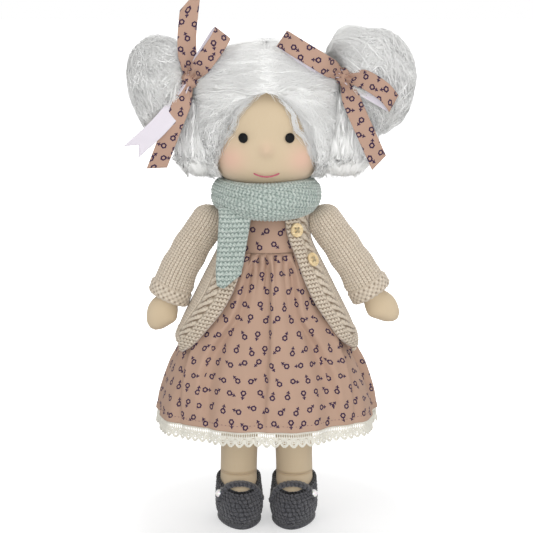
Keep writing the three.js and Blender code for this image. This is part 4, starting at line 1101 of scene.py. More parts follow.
def add_skirt():
    share, angle = share_grid(190, 900, 1, 0)
    outer, inner = skirt_points(share, angle), skirt_points(share, angle, -SKIRT["cloth"])
    points, faces = shell(outer, inner, True)
    skirt = add_piece("skirt_cloth", points, faces, "print_cotton", "torso", "dress_skirt",
                      corner_uv=panel_uv(faces, outer, PANEL_EDGES))
    stitches = []
    for middle in angles(SKIRT["stitches"])[0]:
        run = middle + np.linspace(-0.0055, 0.0055, 6)
        stitches.append(skirt_points(np.full(6, SKIRT["seam"]), run, 0.1))
    seam = tubes(stitches, 0.3, 5, 0.6)
    seam = add_piece("hem_stitches", *seam, "print_cotton", "torso", look="dress_thread")
    cloth_sheet(skirt, outer, True, "gathered", ["bodice_cloth"], [seam, *add_lace()])


def add_bodice():
    share, angle = share_grid(40, 160, *(np.array(BODICE) - HIP) / TRUNK.height)
    wrinkle = 0.25 * np.sin(9 * angle + 14 * share) * np.sin(30 * share)
    outer, inner = TRUNK.point(share, angle, 1.2 + wrinkle), TRUNK.point(share, angle, 0.35)
    points, faces = shell(outer, inner, True)
    bodice = add_piece("bodice_cloth", points, faces, "print_cotton", "torso", "dress_bodice",
                       corner_uv=panel_uv(faces, outer, np.radians([90, 270])))
    cloth_sheet(bodice, outer, True, "stretched", ["trunk_cloth"])


def lace_place(along, down, out=0.0):
    """A place on the lace: along its run in repeats, then down from the hem and out from its face."""
    angle = np.asarray(along, float) / LACE["repeats"] * TURN
    inset = -SKIRT["cloth"] - 0.8 + LACE["flare"] * np.maximum(down, 0) / 9
    hem = skirt_points(1 + np.minimum(down, 0) / SKIRT["length"] + 0 * angle, angle, inset + out)
    hem[..., 2] = SKIRT["waist"] - SKIRT["length"] - down
    return hem


def add_lace():
    rows, columns = 10, 480
    down, angle = share_grid(rows, columns, LACE["band"], -LACE["lap"])
    along = angle / TURN * LACE["repeats"]
    points, faces = shell(lace_place(along, down, 0.3), lace_place(along, down, -0.3), True)
    band = add_piece("lace_band", points, faces, "cotton_lace", "torso", "lace_trim")
    paths = []
    pitch = SKIRT_ROUND / LACE["repeats"]
    for repeat in range(LACE["repeats"]):
        for index in range(4):
            for lean in (-0.07, 0.07):
                run = repeat + index / 4 + np.linspace(-lean, lean, 8)
                paths.append(lace_place(run, np.linspace(LACE["band"] - 0.2, LACE["cord"], 8)))
        turn = np.linspace(-1.35, 1.35, 8)
        for radius in LACE["arcs"]:
            spread = np.clip(radius * np.sin(turn) / pitch, -0.5, 0.5)
            paths.append(lace_place(repeat + spread, LACE["cord"] + radius * np.cos(turn) * 0.95))
        for one in np.linspace(-1.1, 1.1, 6):
            reach = np.linspace(0, LACE["fan"] - 0.4, 8)
            run = repeat + reach * np.sin(one) / pitch
            paths.append(lace_place(run, LACE["cord"] + reach * np.cos(one)))
    web = add_piece("lace_web", *tubes(paths, LACE["thread"], 5, 0.9), "cotton_lace", "torso")
    run = np.linspace(0, LACE["repeats"], LACE["repeats"] * 24 + 1)
    phase = (run + 0.5) % 1 - 0.5
    scallop = LACE["cord"] + LACE["fan"] * np.cos(phase * 2.7) ** 0.6
    scallop = scallop + 0.45 * np.abs(np.sin(phase * 5 * math.pi))
    drops = (LACE["band"], LACE["cord"], scallop, scallop - 1.1)
    cords = [lace_place(run, drop + 0 * run) for drop in drops]
    edge = add_piece("lace_edge", *tubes(cords, LACE["edge"], 6, 1.0), "cotton_lace", "torso")
    return band, web, edge


hem_ring = skirt_points(np.ones(720), angles(720)[0])
SKIRT_ROUND = float(np.linalg.norm(np.roll(hem_ring, -1, 0) - hem_ring, axis=-1).sum())


# Knitting

STITCH = {"width": 2.7, "height": 2.35}


def stockinette(u, v, groove=0.2, beat=0.2):
    """Height from 0 to 1 of plain knitting, its columns of V stitches one unit wide and one unit high.
    groove is how deep the middle of each V lies, and beat how far stitches stand out from each other."""
    aside = np.abs(u - np.floor(u) - 0.5)
    column = np.sqrt(np.clip(1 - (aside / 0.5) ** 3, 0, 1))
    legs = column - groove * bell(aside, 0.1)
    return np.clip(legs * (1 - beat + beat * np.cos(TURN * (v + 1.1 * aside))), 0, 1)


def cavity(height):
    """How far each place stands above what is round it, as a share with the middle of its range at 0.6, the mask for
    the knit's painted shade.
    """
    near = (-5, -2, 0, 2, 5)
    soft = sum(np.roll(np.roll(height, i, 0), j, 1) for i in near for j in near) / len(near) ** 2
    return np.clip(0.6 + 0.95 * (height - soft), 0, 1)


def seed_stitch(u, v):
    """Height of seed stitch: small bumps in a chequered order."""
    return np.sqrt(0.5 + 0.5 * np.sin(math.pi * u) * np.sin(math.pi * v))


def garter(u, v):
    """Height of garter stitch: ridges of small arches, each ridge set half a stitch from the last."""
    shift = 0.25 * np.floor(v)
    ridge = np.abs(np.cos(math.pi * (v + 0.16 * np.cos(TURN * (u + shift)))))
    return ridge ** 0.8 * (0.75 + 0.25 * np.cos(TURN * (u + shift)))


CABLE = {"swing": 2.8, "strand": 3.0, "period": 15}


def cable(x, y):
    """Height of a two-strand rope, across and along it in millimetres."""
    best = np.zeros(np.broadcast(x, y).shape)
    for strand in range(2):
        phase = TURN * (y / CABLE["period"] + strand / 2)
        off = x - CABLE["swing"] * np.sin(phase)
        body = np.sqrt(np.clip(1 - (off / CABLE["strand"]) ** 2, 0, 1))
        plies = 0.84 + 0.16 * np.cos(TURN * (y / STITCH["height"] + 0.35 * np.abs(off)))
        best = np.maximum(best, body * (0.62 + 0.38 * np.cos(phase)) * plies)
    return best


def arc_lengths(grid, axis):
    step = np.linalg.norm(np.diff(grid, axis=axis), axis=-1)
    pad = [(0, 0), (0, 0)]
    pad[axis] = (1, 0)
    return np.pad(np.cumsum(step, axis=axis), pad)


def cloth_sheet(piece, grid, around, held, rests_on, with_pieces=()):
    """Declares a piece as cloth, with the flat size and area of the even surface under its relief."""
    rows = np.concatenate([grid, grid[:, :1]], 1) if around else grid
    across, down = arc_lengths(rows, 1)[:, -1].max(), arc_lengths(rows, 0)[-1].max()
    diagonals = rows[1:, 1:] - rows[:-1, :-1], rows[1:, :-1] - rows[:-1, 1:]
    area = np.linalg.norm(np.cross(*diagonals), axis=-1).sum() / 2
    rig.sheet(piece, flat=(across * MM, down * MM), held=held, rests_on=rests_on, with_pieces=with_pieces,
             area=float(min(area, across * down)) * MM * MM)


def shade_marks(height, inside=0.6):
    """Marks for a knitted wall, the mask for its painted shade: how far its outer stitches stand out, and one value
    for its inside.
    """
    return {"relief": np.concatenate([cavity(height).ravel(), np.full(height.size, inside)])}


# Cardigan

CARDIGAN = Form(251, -115, 75, 58.6, [
    (0, .333, .29), (.015, .42, .358), (.06, .424, .42), (.13, .43, .455), (.2, .445, .485),
    (.26, .47, .52), (.33, .52, .572), (.46, .622, .67), (.617, .742, .77), (.79, .873, .87),
    (.913, .948, .947), (1, 1, 1)])
FRONT_EDGES = {
    "left": [(-.1, .13), (.095, .163), (.231, .213), (.404, .273), (.538, .344), (.677, .465), (.793, .609),
             (.918, .776), (.976, .895)],
    "right": [(-.1, .16), (.091, .187), (.205, .229), (.345, .321), (.493, .405), (.637, .517),
              (.754, .637), (.867, .759), (.947, .896)],
}
BAND = {"width": 10.5, "gutter": 1.2, "cable": 11.6}
HEM = {"back": 0.9, "front": 0.97, "band": 7.0}


def half_cardigan(name, side, rows, columns):
    """Half of the cardigan's body from its front edge, in the first column, to the middle of the back."""
    t = np.linspace(0, 1, columns)[None] + np.zeros((rows, 1))
    end = HEM["back"] + (HEM["front"] - HEM["back"]) * ramp(-t, -0.3, 0) ** 1.5
    share = 0.004 + (end - 0.004) * np.linspace(0, 1, rows)[:, None]
    edge = smooth(FRONT_EDGES[name], share)[..., 1]
    width = smooth(CARDIGAN.rows, share)[..., 1]
    start = np.arcsin(np.clip(edge / width, 0, 0.999))
    return CARDIGAN.point(share, side * (start + (math.pi - start) * t))


def cardigan_height(grid):
    """Stitch height over half the cardigan: garter bands, a cable by the front edge, and plain knitting."""
    across, down = arc_lengths(grid, 1), arc_lengths(grid, 0)
    to_hem = down[-1:] - down
    seam = np.argmax(np.abs(grid[..., 0]), axis=1)[:, None]
    on_front = np.arange(grid.shape[1])[None] < seam
    from_edge = np.where(on_front, across, across[:, -1:] - across)
    plain = stockinette(from_edge / STITCH["width"], down / STITCH["height"])
    centre = BAND["width"] + BAND["gutter"] + BAND["cable"] / 2
    plait = 2.5 * cable(across - centre, down)
    height = np.where(np.abs(across - centre) < BAND["cable"] / 2, plait, plain)
    for gutter in (BAND["width"] + 0.6, centre + BAND["cable"] / 2 + 0.7):
        height = height - 0.7 * bell(across - gutter, 0.9)
    height = np.where(across < BAND["width"], 0.1 + 1.6 * garter(across / 3.2, down / 3.5), height)
    hem = 0.1 + 1.6 * garter(across / 3.2, to_hem / 3.5)
    return np.where((to_hem < HEM["band"]) & (across >= BAND["width"]), hem, height)


def add_cardigan():
    left, right = (half_cardigan(name, side, 250, 480) for name, side in SIDES.items())
    height = np.concatenate([cardigan_height(right), cardigan_height(left)[:, ::-1][:, 1:]], 1)
    grid = np.concatenate([right, left[:, ::-1][:, 1:]], 1)
    x, y, z = grid[..., 0], grid[..., 1], grid[..., 2]
    shoulder = ramp(z, 210, 218) * bell(y, 12)
    x += np.sign(x) * shoulder * np.maximum(32.8 - 0.9 * height - np.abs(x), 0)
    low, lifted = grid[::-1], height[::-1]
    normal = normals_of(low, False)
    outer = low + normal * (0.95 * lifted)[..., None]
    inner = low - normal * (1.7 + 0.15 * np.roll(lifted, 3, 0))[..., None]
    nodes = ("cardigan_back", "cardigan_front_left", "cardigan_front_right")
    piece = add_piece("cardigan_body", *shell(outer, inner, False), "cardigan_knit", "torso", *nodes,
                      marks=shade_marks(lifted))
    cloth_sheet(piece, grid, False, "draped", ["bodice_cloth", "skirt_cloth"])


SLEEVE = {"radius": 13.3, "end": 59.5, "inside": 12.9, "start": 33.5}
CUFF = {"length": 9, "radius": 15.6}
SLEEVE_SHARES = [(0, 1, 1), (.35, 1.02, 1.02), (.75, 1.06, 1.06), (1, 1.08, 1.08)]


def add_sleeve(name, side):
    form = Form(0, -SLEEVE["end"], SLEEVE["radius"], SLEEVE["radius"], SLEEVE_SHARES)
    grid, share, angle = ring_grid(form, 220, 384)
    folds = 0.5 * np.sin(share * 17 + 1.5 * np.sin(angle)) * bell(share - 0.55, 0.3)
    puff(grid, angle, folds + 1.2 * bell(share - 0.93, 0.07) * (0.6 + 0.4 * np.sin(3 * angle)))
    grid = dome(grid, 0.82 * SLEEVE["radius"], 46)
    down = arc_lengths(grid, 0)
    stitches = round(TURN * SLEEVE["radius"] / 2.6)
    height = stockinette(angle[:1] / TURN * stitches + 0 * down, down / STITCH["height"])
    placed, inside = arm_turn(grid, side), arm_turn(grid * np.array([0.9, 0.9, 1]), side)
    for wall in (placed, inside):
        wall[..., 0] = side * np.maximum(side * wall[..., 0], SLEEVE["start"])
    placed, inside, height = facing_out(side, placed, inside, height)
    height = np.where(side * placed[..., 0] <= SLEEVE["start"] + 0.01, 0, height)
    outer = placed + normals_of(placed, True) * (0.95 * height)[..., None]
    piece = add_piece("sleeve_knit_" + name, *shell(outer, inside, True), "cardigan_knit", "arm_" + name,
                      "sleeve_" + name, marks=shade_marks(height))
    cloth_sheet(piece, placed, True, "draped", ["arm_cloth_" + name], [add_cuff(name, side)])


def add_cuff(name, side):
    rows, columns = 44, 200
    turn = (np.arange(rows) / rows * 2 - 0.5)[:, None] * math.pi
    angle = angles(columns)
    half = CUFF["length"] / 2
    middle = -(SLEEVE["end"] + 0.3 + half)
    bulge = (CUFF["radius"] - SLEEVE["inside"]) / 2
    radius = SLEEVE["inside"] + bulge + bulge * blunt(np.cos(turn), 0.5)
    z = middle - half * blunt(np.sin(turn), 0.6) + 0 * angle
    placed = arm_turn(np.stack([radius * np.sin(angle), -radius * np.cos(angle), z], -1), side)
    height = seed_stitch(angle / TURN * 2 * round(TURN * CUFF["radius"] / 4.6), (z - middle) / 2.1)
    placed, height = facing_out(side, placed, height)
    raised = np.where(np.cos(turn) > 0, 1.7, 0.51) * height
    outer = placed + normals_of(placed, True) * raised[..., None]
    return add_piece("cuff_knit_" + name, outer, ring_faces(rows, columns), "cardigan_knit", "arm_" + name,
                     "cuff_" + name, marks={"relief": cavity(height)})


# Buttons of light wood with four holes and crossed thread

BUTTON = {"radius": 5.5, "thickness": 2.0, "rim": 0.9, "dish": 0.5, "hole": 0.75, "spread": 1.5,
          "thread": 0.36}
BUTTON_RINGS = (5.5, 5.35, 5.1, 4.85, 4.6, 4.3, 4.0, 3.4)
BUTTON_HOLES = BUTTON["spread"] * np.array([(1, 1), (-1, 1), (-1, -1), (1, -1)])
BUTTON_PLACES = {"upper": {"inset": 6.1, "drop": 17.8}, "lower": {"inset": 9.1, "drop": 41.4}}


def circle(radius, count, centre=(0, 0)):
    turn = angles(count)[0]
    return np.stack([centre[0] + radius * np.cos(turn), centre[1] + radius * np.sin(turn)], -1)


def button_height(r):
    """Height of the button's face at a distance from its middle: a dish inside a rounded rim."""
    rim = BUTTON["radius"] - BUTTON["rim"]
    dish = BUTTON["thickness"] - BUTTON["dish"]
    over = np.clip((r - rim + 0.35) / (BUTTON["rim"] * 0.75), 0, 1)
    edge = np.clip((r - rim - 0.25) / (BUTTON["radius"] - rim - 0.25), 0, 1)
    return dish + BUTTON["dish"] * over ** 2 * (3 - 2 * over) - 0.9 * edge ** 3


def button_mesh():
    """A disc with real holes: its face and back as triangles, its walls as quads."""
    rings = [circle(radius, 72) for radius in BUTTON_RINGS]
    for radius in (BUTTON["hole"], BUTTON["hole"] + 0.18):
        rings += [circle(radius, 20, hole) for hole in BUTTON_HOLES]
    corners = [Vector(place) for place in np.concatenate(rings)]
    places, _, triangles, *_ = geometry.delaunay_2d_cdt(corners, [], [], 0, 1e-6)
    flat = np.array([tuple(place) for place in places])
    triangles = np.array([list(triangle) for triangle in triangles])
    middle = flat[triangles].mean(1)
    solid = np.min([np.hypot(*(middle - hole).T) for hole in BUTTON_HOLES], axis=0) > BUTTON["hole"] * 0.98
    triangles = triangles[solid]
    near = np.min([np.hypot(*(flat - hole).T) for hole in BUTTON_HOLES], axis=0)
    face = button_height(np.hypot(*flat.T)) - 0.25 * (near < BUTTON["hole"] + 0.05)
    count = len(flat)
    points = np.concatenate([np.c_[flat, face], np.c_[flat, 0 * face]])
    edges = dict.fromkeys(pair for a, b, c in triangles for pair in ((a, b), (b, c), (c, a)))
    walls = [(b, a, a + count, b + count) for a, b in edges if (b, a) not in edges]
    return points, [triangles, triangles[:, ::-1] + count, np.array(walls)]


def cardigan_frame(x, z):
    """The place, and the directions across, up and out, on the front of the cardigan."""
    def place(a, b):
        return np.array([a, CARDIGAN.front(np.array(float(a)), np.array(float(b))), b])
    across, up = place(x + 3, z) - place(x - 3, z), place(x, z + 3) - place(x, z - 3)
    out, across = unit(np.cross(across, up)), unit(across)
    return place(x, z), np.stack([across, np.cross(out, across), out])


def button_stitches():
    """Two pairs of threads that cross on a button's face and go down through its holes."""
    top = BUTTON["thickness"] - BUTTON["dish"] + 0.3
    t = np.linspace(-0.06, 1.06, 14)
    on_top = np.clip(t, 0, 1)
    down = 2.2 * (ramp(-t, 0, 1 / 12) + ramp(t, 1, 13 / 12))
    stitches = []
    for first, arch in ((0, 0.14), (1, 0.49)):
        start, end = BUTTON_HOLES[first], BUTTON_HOLES[first + 2]
        beside = unit(np.array([start[1] - end[1], end[0] - start[0]]))
        for shift in (-0.28, 0.28):
            flat = start + (end - start) * on_top[:, None] + beside * shift
            stitches.append(np.c_[flat, top + arch * np.sin(on_top * math.pi) - down])
    return np.array(stitches)


def add_buttons():
    points, faces = button_mesh()
    for name, where in BUTTON_PLACES.items():
        share = -where["drop"] / CARDIGAN.height
        x = smooth(FRONT_EDGES["right"], share)[1] * CARDIGAN.half_width + where["inset"]
        centre, axes = cardigan_frame(x, CARDIGAN.base - where["drop"])
        centre = centre + axes[2] * (1.5 + BUTTON["radius"] ** 2 / CARDIGAN.half_width)
        add_piece("button_disc_" + name, centre + points @ axes, faces, "button_wood", "torso",
                  "button_" + name, marks={"relief": np.ones(len(points))})
        thread = tubes(centre + button_stitches() @ axes, BUTTON["thread"], 8, 0.9)
        add_piece("button_cross_" + name, *thread, "thread", "torso", "button_thread_" + name,
                  look="button_thread")


# Scarf

SCARF = {"ring": 35, "half_thick": 8.4, "half_tall": 11.2, "low": 0.4, "drop": 2.2, "rise": 1.2,
         "forward": 2, "end": math.radians(44), "strip": 44}
TAIL = {"width": 25, "thick": 4.6, "length": 55, "lean": 4.2, "side": 24.0}
TAIL_PATH = [(-.1, .2, 0), (.06, 0, 0), (.4, 0, .5), (.75, 0, 1), (1, -.05, 1)]


def add_scarf():
    """The wound scarf as one ring, with a step where its outer end lies on the turn below."""
    rows, columns = 132, 620
    turn, angle = angles(rows).T, angles(columns)
    past_end = np.mod(angle - SCARF["end"], TURN)
    over = 1 / (1 + np.exp(-(past_end - 0.03) * 60)) * ramp(TURN - past_end, 0, 1.2) ** 0.5
    thick = SCARF["half_thick"] + 0.9 * over * np.clip(np.cos(turn), 0, 1) + 0.5 * np.sin(3 * angle + 1)
    fold = 1.5 * bell(turn - 0.45 - 0.5 * np.sin(angle + 0.4), 0.13)
    fold = fold + bell(turn - 5.6 - 0.35 * np.sin(angle * 2 + 1), 0.15)
    radius = SCARF["ring"] + (thick - fold) * blunt(np.cos(turn), 0.85)
    up = (SCARF["half_tall"] + 0.4 * np.sin(2 * angle)) * np.sin(turn)
    up = up * (1 + 0.34 * np.clip(np.cos(angle), 0, 1) * (np.sin(turn) > 0))
    level = NECK - SCARF["low"] - SCARF["drop"] * np.cos(angle) + SCARF["rise"] * np.sin(angle) ** 2
    y = -SCARF["forward"] - radius * np.cos(angle)
    ring = np.stack([0.94 * radius * np.sin(angle), y, level + up], -1)
    u = turn * (SCARF["half_thick"] + SCARF["half_tall"]) / 7.2 + 2.2 * np.sin(angle - 0.4)
    height = stockinette(u, angle * (SCARF["ring"] + SCARF["half_thick"]) / 3.4, 0.5, 0.34)
    ring = ring + normals_of(ring, True) * (1.5 * height)[..., None]
    wrap = add_piece("scarf_wrap", ring, ring_faces(rows, columns), "scarf_knit", "torso", "scarf",
                     marks={"relief": cavity(height)})
    around = TURN * (SCARF["ring"] + SCARF["half_thick"] / 2)
    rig.sheet(wrap, flat=(SCARF["strip"] * MM, around * MM), held="folded",
             rests_on=["cardigan_body", "bodice_cloth"])
    add_scarf_tail()


def add_scarf_tail():
    rows, columns = 150, 70
    front = -SCARF["forward"] - SCARF["ring"]
    top = NECK - SCARF["low"] - SCARF["half_tall"]
    path = stretch([(-TAIL["side"] - lean * TAIL["lean"], front + back * SCARF["ring"],
                     top - down * TAIL["length"]) for down, back, lean in TAIL_PATH], rows)
    across, down = np.meshgrid(np.linspace(-1, 1, columns), np.linspace(0, 1, rows))
    half = TAIL["width"] / 2 * (1 - 0.24 * down)
    grid = path[:, None] + np.stack([half * across, 0.9 * np.sin(3 * across + 2 * down), 0 * across], -1)
    lifted = 15 * np.clip(0.55 * (across + 0.45), 0, 1) + 5 * np.clip(-across - 0.45, 0, 1)
    grid[..., 2] += ramp(down, 0.72, 1) * lifted
    length = arc_lengths(grid, 0)
    height = garter((across + 1) * half / 3.0 + 0.1 * np.sin(length), length / 3.7)
    border = np.minimum(np.minimum((1 - np.abs(across)) * half, length.max() - length), length + 3)
    body = np.sqrt(np.clip(border / 2.3, 0, 1))
    thick = (TAIL["thick"] / 2 - 0.5) * body
    out = np.array([0, -1, 0])
    outer = grid + out * (thick + height * body)[..., None]
    inner = grid - out * (thick + 0.4 * height * body)[..., None]
    tail = add_piece("scarf_tail", *shell(outer[::-1], inner[::-1], False), "scarf_knit", "torso",
                     marks={"relief": np.tile(cavity(height)[::-1].ravel(), 2)})
    cloth_sheet(tail, grid, False, "hung", ["scarf_wrap", "cardigan_body"])


# Crochet shoes

SHOE = {"sole": 3.0, "wall": 2.6, "rim_back": 34, "rim_front": 26.5, "rim_run": 46, "rim_front_y": 28,
        "bottom": 3.4, "stitches": 36, "row": 3.1, "rim_stitches": 46, "rim_yarn": 1.35, "ribs": 23}
STRAP = {"width": 11.0, "thick": 3.4, "lean": math.radians(10), "place": 22.5, "low": 17, "rows": 15}
PEARL = {"radius": 3.2, "lift": 24, "sink": 1.8}


def rim_height(y):
    rise = (SHOE["rim_back"] - SHOE["rim_front"]) / SHOE["rim_run"]
    return SHOE["rim_front"] + (y + SHOE["rim_front_y"]) * rise


def crochet(u, v):
    """Height of single crochet: rows of leaning bumps with a groove between rows."""
    lean = u + 0.35 * np.floor(v) + 0.25 * (v - np.floor(v))
    bump = np.abs(np.cos(math.pi * lean)) ** 0.6
    row = np.abs(np.sin(math.pi * v)) ** 0.5
    return bump * row


def add_shoe(name, side):
    form = foot_form(side)
    climb, angle = share_grid(90, 300)
    z = SHOE["bottom"] + 22 * climb
    for _ in range(12):
        grid = form.point((z - form.base) / form.height, angle, SHOE["wall"] - 1)
        z = SHOE["bottom"] + (rim_height(grid[..., 1]) - SHOE["bottom"]) * climb
    inner = form.point((z - form.base) / form.height, angle, 0.3)
    across, up = arc_lengths(grid, 1), arc_lengths(grid, 0)
    uneven = 0.18 * np.sin(7 * angle + up / 3) + 0.12 * np.sin(11 * angle - up / 2)
    u = across / (across[:, -1:] * (1 + 1 / 300)) * SHOE["stitches"] + uneven
    height = crochet(u, up / SHOE["row"] + 0.5 * uneven)
    outer = toe_in(grid + normals_of(grid, True) * (1.5 * height)[..., None], side)
    inner = toe_in(inner, side)
    body = "leg_" + name
    add_piece("shoe_crochet_" + name, *shell(outer, inner, True), "shoe_crochet", body,
              "shoe_upper_" + name, marks=shade_marks(height, 0.5))
    # The rim yarn has no relief mark, which reads as 0, so it takes the crochet's shade colour all over: a painted
    # shade along the opening.
    add_piece("shoe_rim_" + name, *rim_yarn((outer[-1] + inner[-1]) / 2), "shoe_crochet", body)
    add_sole(name, side)
    add_strap(name, side, form)
    add_pearl(name, side, form)


def rim_yarn(ring):
    """A row of slanted yarn stitches lying along a closed ring of points."""
    count = len(ring)
    out = unit((ring - ring.mean(0)) * [1, 1, 0])
    swing = np.linspace(-1, 1, 9)[:, None]
    paths = []
    for one in range(SHOE["rim_stitches"]):
        t = (one + np.linspace(-0.35, 1.1, 9)) / SHOE["rim_stitches"] * count
        low = np.floor(t).astype(int) % count
        blend = (t - np.floor(t))[:, None]
        place = ring[low] * (1 - blend) + ring[(low + 1) % count] * blend + out[low] * swing * 0.8
        paths.append(place + np.array([0, 0, 1]) * (0.55 * np.cos(swing * 1.5) + 0.1))
    return tubes(paths, SHOE["rim_yarn"], 8, 0.55)


def add_sole(name, side):
    turn = np.linspace(-0.5, 0.5, 30)[:, None] * math.pi
    angle = angles(240)
    half = SHOE["sole"] / 2
    ribs = np.cos(turn) * (np.abs(np.sin(angle * SHOE["ribs"])) ** 0.6 - 0.6) * 0.7
    grow = 1.2 - 1.3 * (1 - np.cos(turn)) + ribs
    centre = np.array([side * LEG["ankle_spread"], -FOOT["forward"], 0])
    grid = centre + np.stack([(FOOT["half_width"] + grow) * np.sin(angle),
                              -(FOOT["half_length"] + grow) * np.cos(angle),
                              half + half * np.sin(turn) + 0 * angle], -1)
    underside = []
    for share in np.linspace(0.02, 0.9, 14):
        ring = centre + (grid[0] - centre) * share
        ring[:, 2] = 0.3 * np.abs(np.sin(angle[0] * SHOE["ribs"] + share * 40)) * min(1, (1 - share) * 8)
        underside.append(ring)
    points, faces = closed(toe_in(np.concatenate([underside, grid]), side))
    add_piece("shoe_sole_knit_" + name, points, faces, "shoe_crochet", "leg_" + name, "shoe_sole_" + name,
              marks={"relief": np.full(len(points), 0.6)})


def foot_top(form, x, y, grow):
    """Height of a foot form's surface over a level place, or nothing beyond its edge."""
    share = np.linspace(0, 1, 400)[:, None]
    row = smooth(form.rows, share)
    width, depth = row[..., 1] * form.half_width + grow, row[..., 2] * form.half_depth + grow
    middle = form.y - row[..., 3] * form.forward
    inside = ((x - form.x) / width) ** 2 + ((y - middle) / depth) ** 2 <= 1
    return np.where(inside, form.base + share * form.height, 0).max(0)


def add_strap(name, side, form):
    x = form.x + np.sin(np.linspace(-1, 1, 110) * math.pi / 2) * (FOOT["half_width"] + 2.2)
    y = np.full(110, -float(STRAP["place"]))
    for _ in range(6):
        z = foot_top(form, x, y, 0.3 + STRAP["thick"] / 2)
        y = -STRAP["place"] - (z - SHOE["rim_back"]) * math.tan(STRAP["lean"])
    path = np.stack([x, y, z], -1)[z > STRAP["low"]]
    path = stretch(path[::len(path) // 14], 120)
    ahead = unit(np.gradient(path, axis=0))
    wide = np.array([0, math.cos(STRAP["lean"]), -math.sin(STRAP["lean"])])
    wide = unit(wide - ahead * (ahead @ wide)[:, None])
    out = np.cross(wide, ahead)
    out *= np.sign(out[60, 2])
    turn = angles(28)
    flat = blunt(np.cos(turn), 0.7) * STRAP["width"] / 2
    tall = blunt(np.sin(turn), 0.8) * STRAP["thick"] / 2
    along = np.linspace(0, STRAP["rows"], 120)[:, None]
    twist = np.abs(np.cos(math.pi * (along + 0.16 * flat))) ** 0.6
    flat, tall = flat * (0.94 + 0.1 * twist), tall * (0.8 + 0.55 * twist)
    grid = path[:, None] + wide[:, None] * flat[..., None] + out[:, None] * tall[..., None]
    points, faces = closed(toe_in(grid, side))
    if signed_volume(points, faces) < 0:
        faces = [group[:, ::-1] for group in faces]
    # The twist's low places take the crochet's painted shade in the grooves between the strap's rows.
    add_piece("shoe_band_" + name, points, faces, "shoe_crochet", "leg_" + name, "shoe_strap_" + name,
              marks={"relief": np.append(twist, [0.5, 0.5])})


def add_pearl(name, side, form):
    row = smooth(FOOT_SHARES, (PEARL["lift"] - FOOT["base"]) / (FOOT["top"] - FOOT["base"]))
    along = (STRAP["place"] - row[3] * FOOT["forward"]) / (row[2] * FOOT["half_length"] + SHOE["wall"])
    bulge = (row[1] * FOOT["half_width"] + 0.3 + SHOE["wall"]) * math.sqrt(1 - along ** 2)
    out = side * (bulge + PEARL["radius"] - PEARL["sink"])
    centre = np.array([form.x + out, -STRAP["place"], PEARL["lift"]])
    profile = [(PEARL["radius"] * math.sin(t), -PEARL["radius"] * math.cos(t))
               for t in np.linspace(0.02, math.pi - 0.02, 28)]
    grid = turned_disc(profile, 48, toe_in(centre, side), np.array([float(side), 0, 0]))
    add_piece("pearl_bead_" + name, *closed(grid), "pearl", "leg_" + name, "shoe_pearl_" + name)


def signed_volume(points, faces):
    total = 0
    for group in faces:
        a = points[group[:, 0]]
        for k in range(1, group.shape[1] - 1):
            total += np.einsum("ij,ij->i", a, np.cross(points[group[:, k]], points[group[:, k + 1]])).sum()
    return total / 6


# Hair

HAIR_SHARES = [(0, .7, .78), (.12, .88, .93), (.3, .98, 1), (.5, 1, 1), (.66, .99, .98), (.78, .94, .91),
               (.88, .74, .74), (.95, .5, .5), (1, .14, .14)]
HAIR = Form(271.6, 105.4, 60, 50, HAIR_SHARES, y=5)
FACE_SHARES = [(0, 1), (.38, 1), (.53, .92), (.665, .81), (.785, .65), (.9, .4), (1, .05)]
FACE = {"low": 262, "height": 79, "half_width": 40}
LOCKS = {"left": {"x": 51, "z": 296, "size": (18, 25, 24)},
         "right": {"x": 59, "z": 298, "size": (26, 26, 26)}}
BUNS = {"left": {"x": 55, "z": 347, "length": 51, "tall": 36, "deep": 30, "dip": 16, "over": 8},
        "right": {"x": 55, "z": 350, "length": 59, "tall": 36, "deep": 30, "dip": 8, "over": 19}}
BUN = {"neck": 11, "tie": 2, "out": 5}
FINE_HAIR = 0.17
MASS = {"clear": 6.5, "drawn_in": 6.0, "wall": 1.8, "top": 354}
CROWN = {"low": 336, "front": 340, "top": 376, "nape": 276, "front_share": 0.36}
NAPE = {"from": 62, "to": 298, "high": (318, 352), "low": (270, 281)}
BUN_SHARES = [(0, .42, .44), (.03, .62, .64), (.1, .82, .84), (.25, .97, .97), (.5, 1, 1), (.7, .93, .94),
              (.86, .72, .74), (.96, .42, .44), (1, .14, .14)]


def joined(parts):
    """Points, faces and tones of several meshes as one."""
    points, faces, tones, count = [], [], [], 0
    for some_points, some_faces, tone in parts:
        groups = some_faces if isinstance(some_faces, list) else [some_faces]
        faces += [np.asarray(group) + count for group in groups]
        points.append(np.asarray(some_points).reshape(-1, 3))
        tones.append(np.broadcast_to(tone, len(points[-1])))
        count += len(points[-1])
    return np.concatenate(points), faces, np.concatenate(tones)


def strands(paths, radius, sides=3, taper=0.3):
    """Tubes along many paths, each with its own thickness and tone."""
    paths = np.asarray(paths, float)
    thickness = radius * RANDOM.uniform(0.75, 1.25, len(paths))
    points, faces = tubes(paths, thickness, sides, taper)
    tone = np.repeat(RANDOM.uniform(0, 1, len(paths)), paths.shape[1] * sides)
    return points, faces, tone


def clumped(guides, each, spread):
    """Several paths near each guide, drawn together at its start and loose at its end."""
    count, steps = guides.shape[:2]
    offset = RANDOM.normal(0, spread, (count, each, 1, 3))
    t = np.linspace(0, 1, steps)[:, None]
    phase = RANDOM.uniform(0, TURN, (count, each, 1, 1))
    curl = 0.35 * spread * np.sin(TURN * 4 * t + phase)
    return (guides[:, None] + offset * (0.5 + 0.5 * t) + curl).reshape(-1, steps, 3)


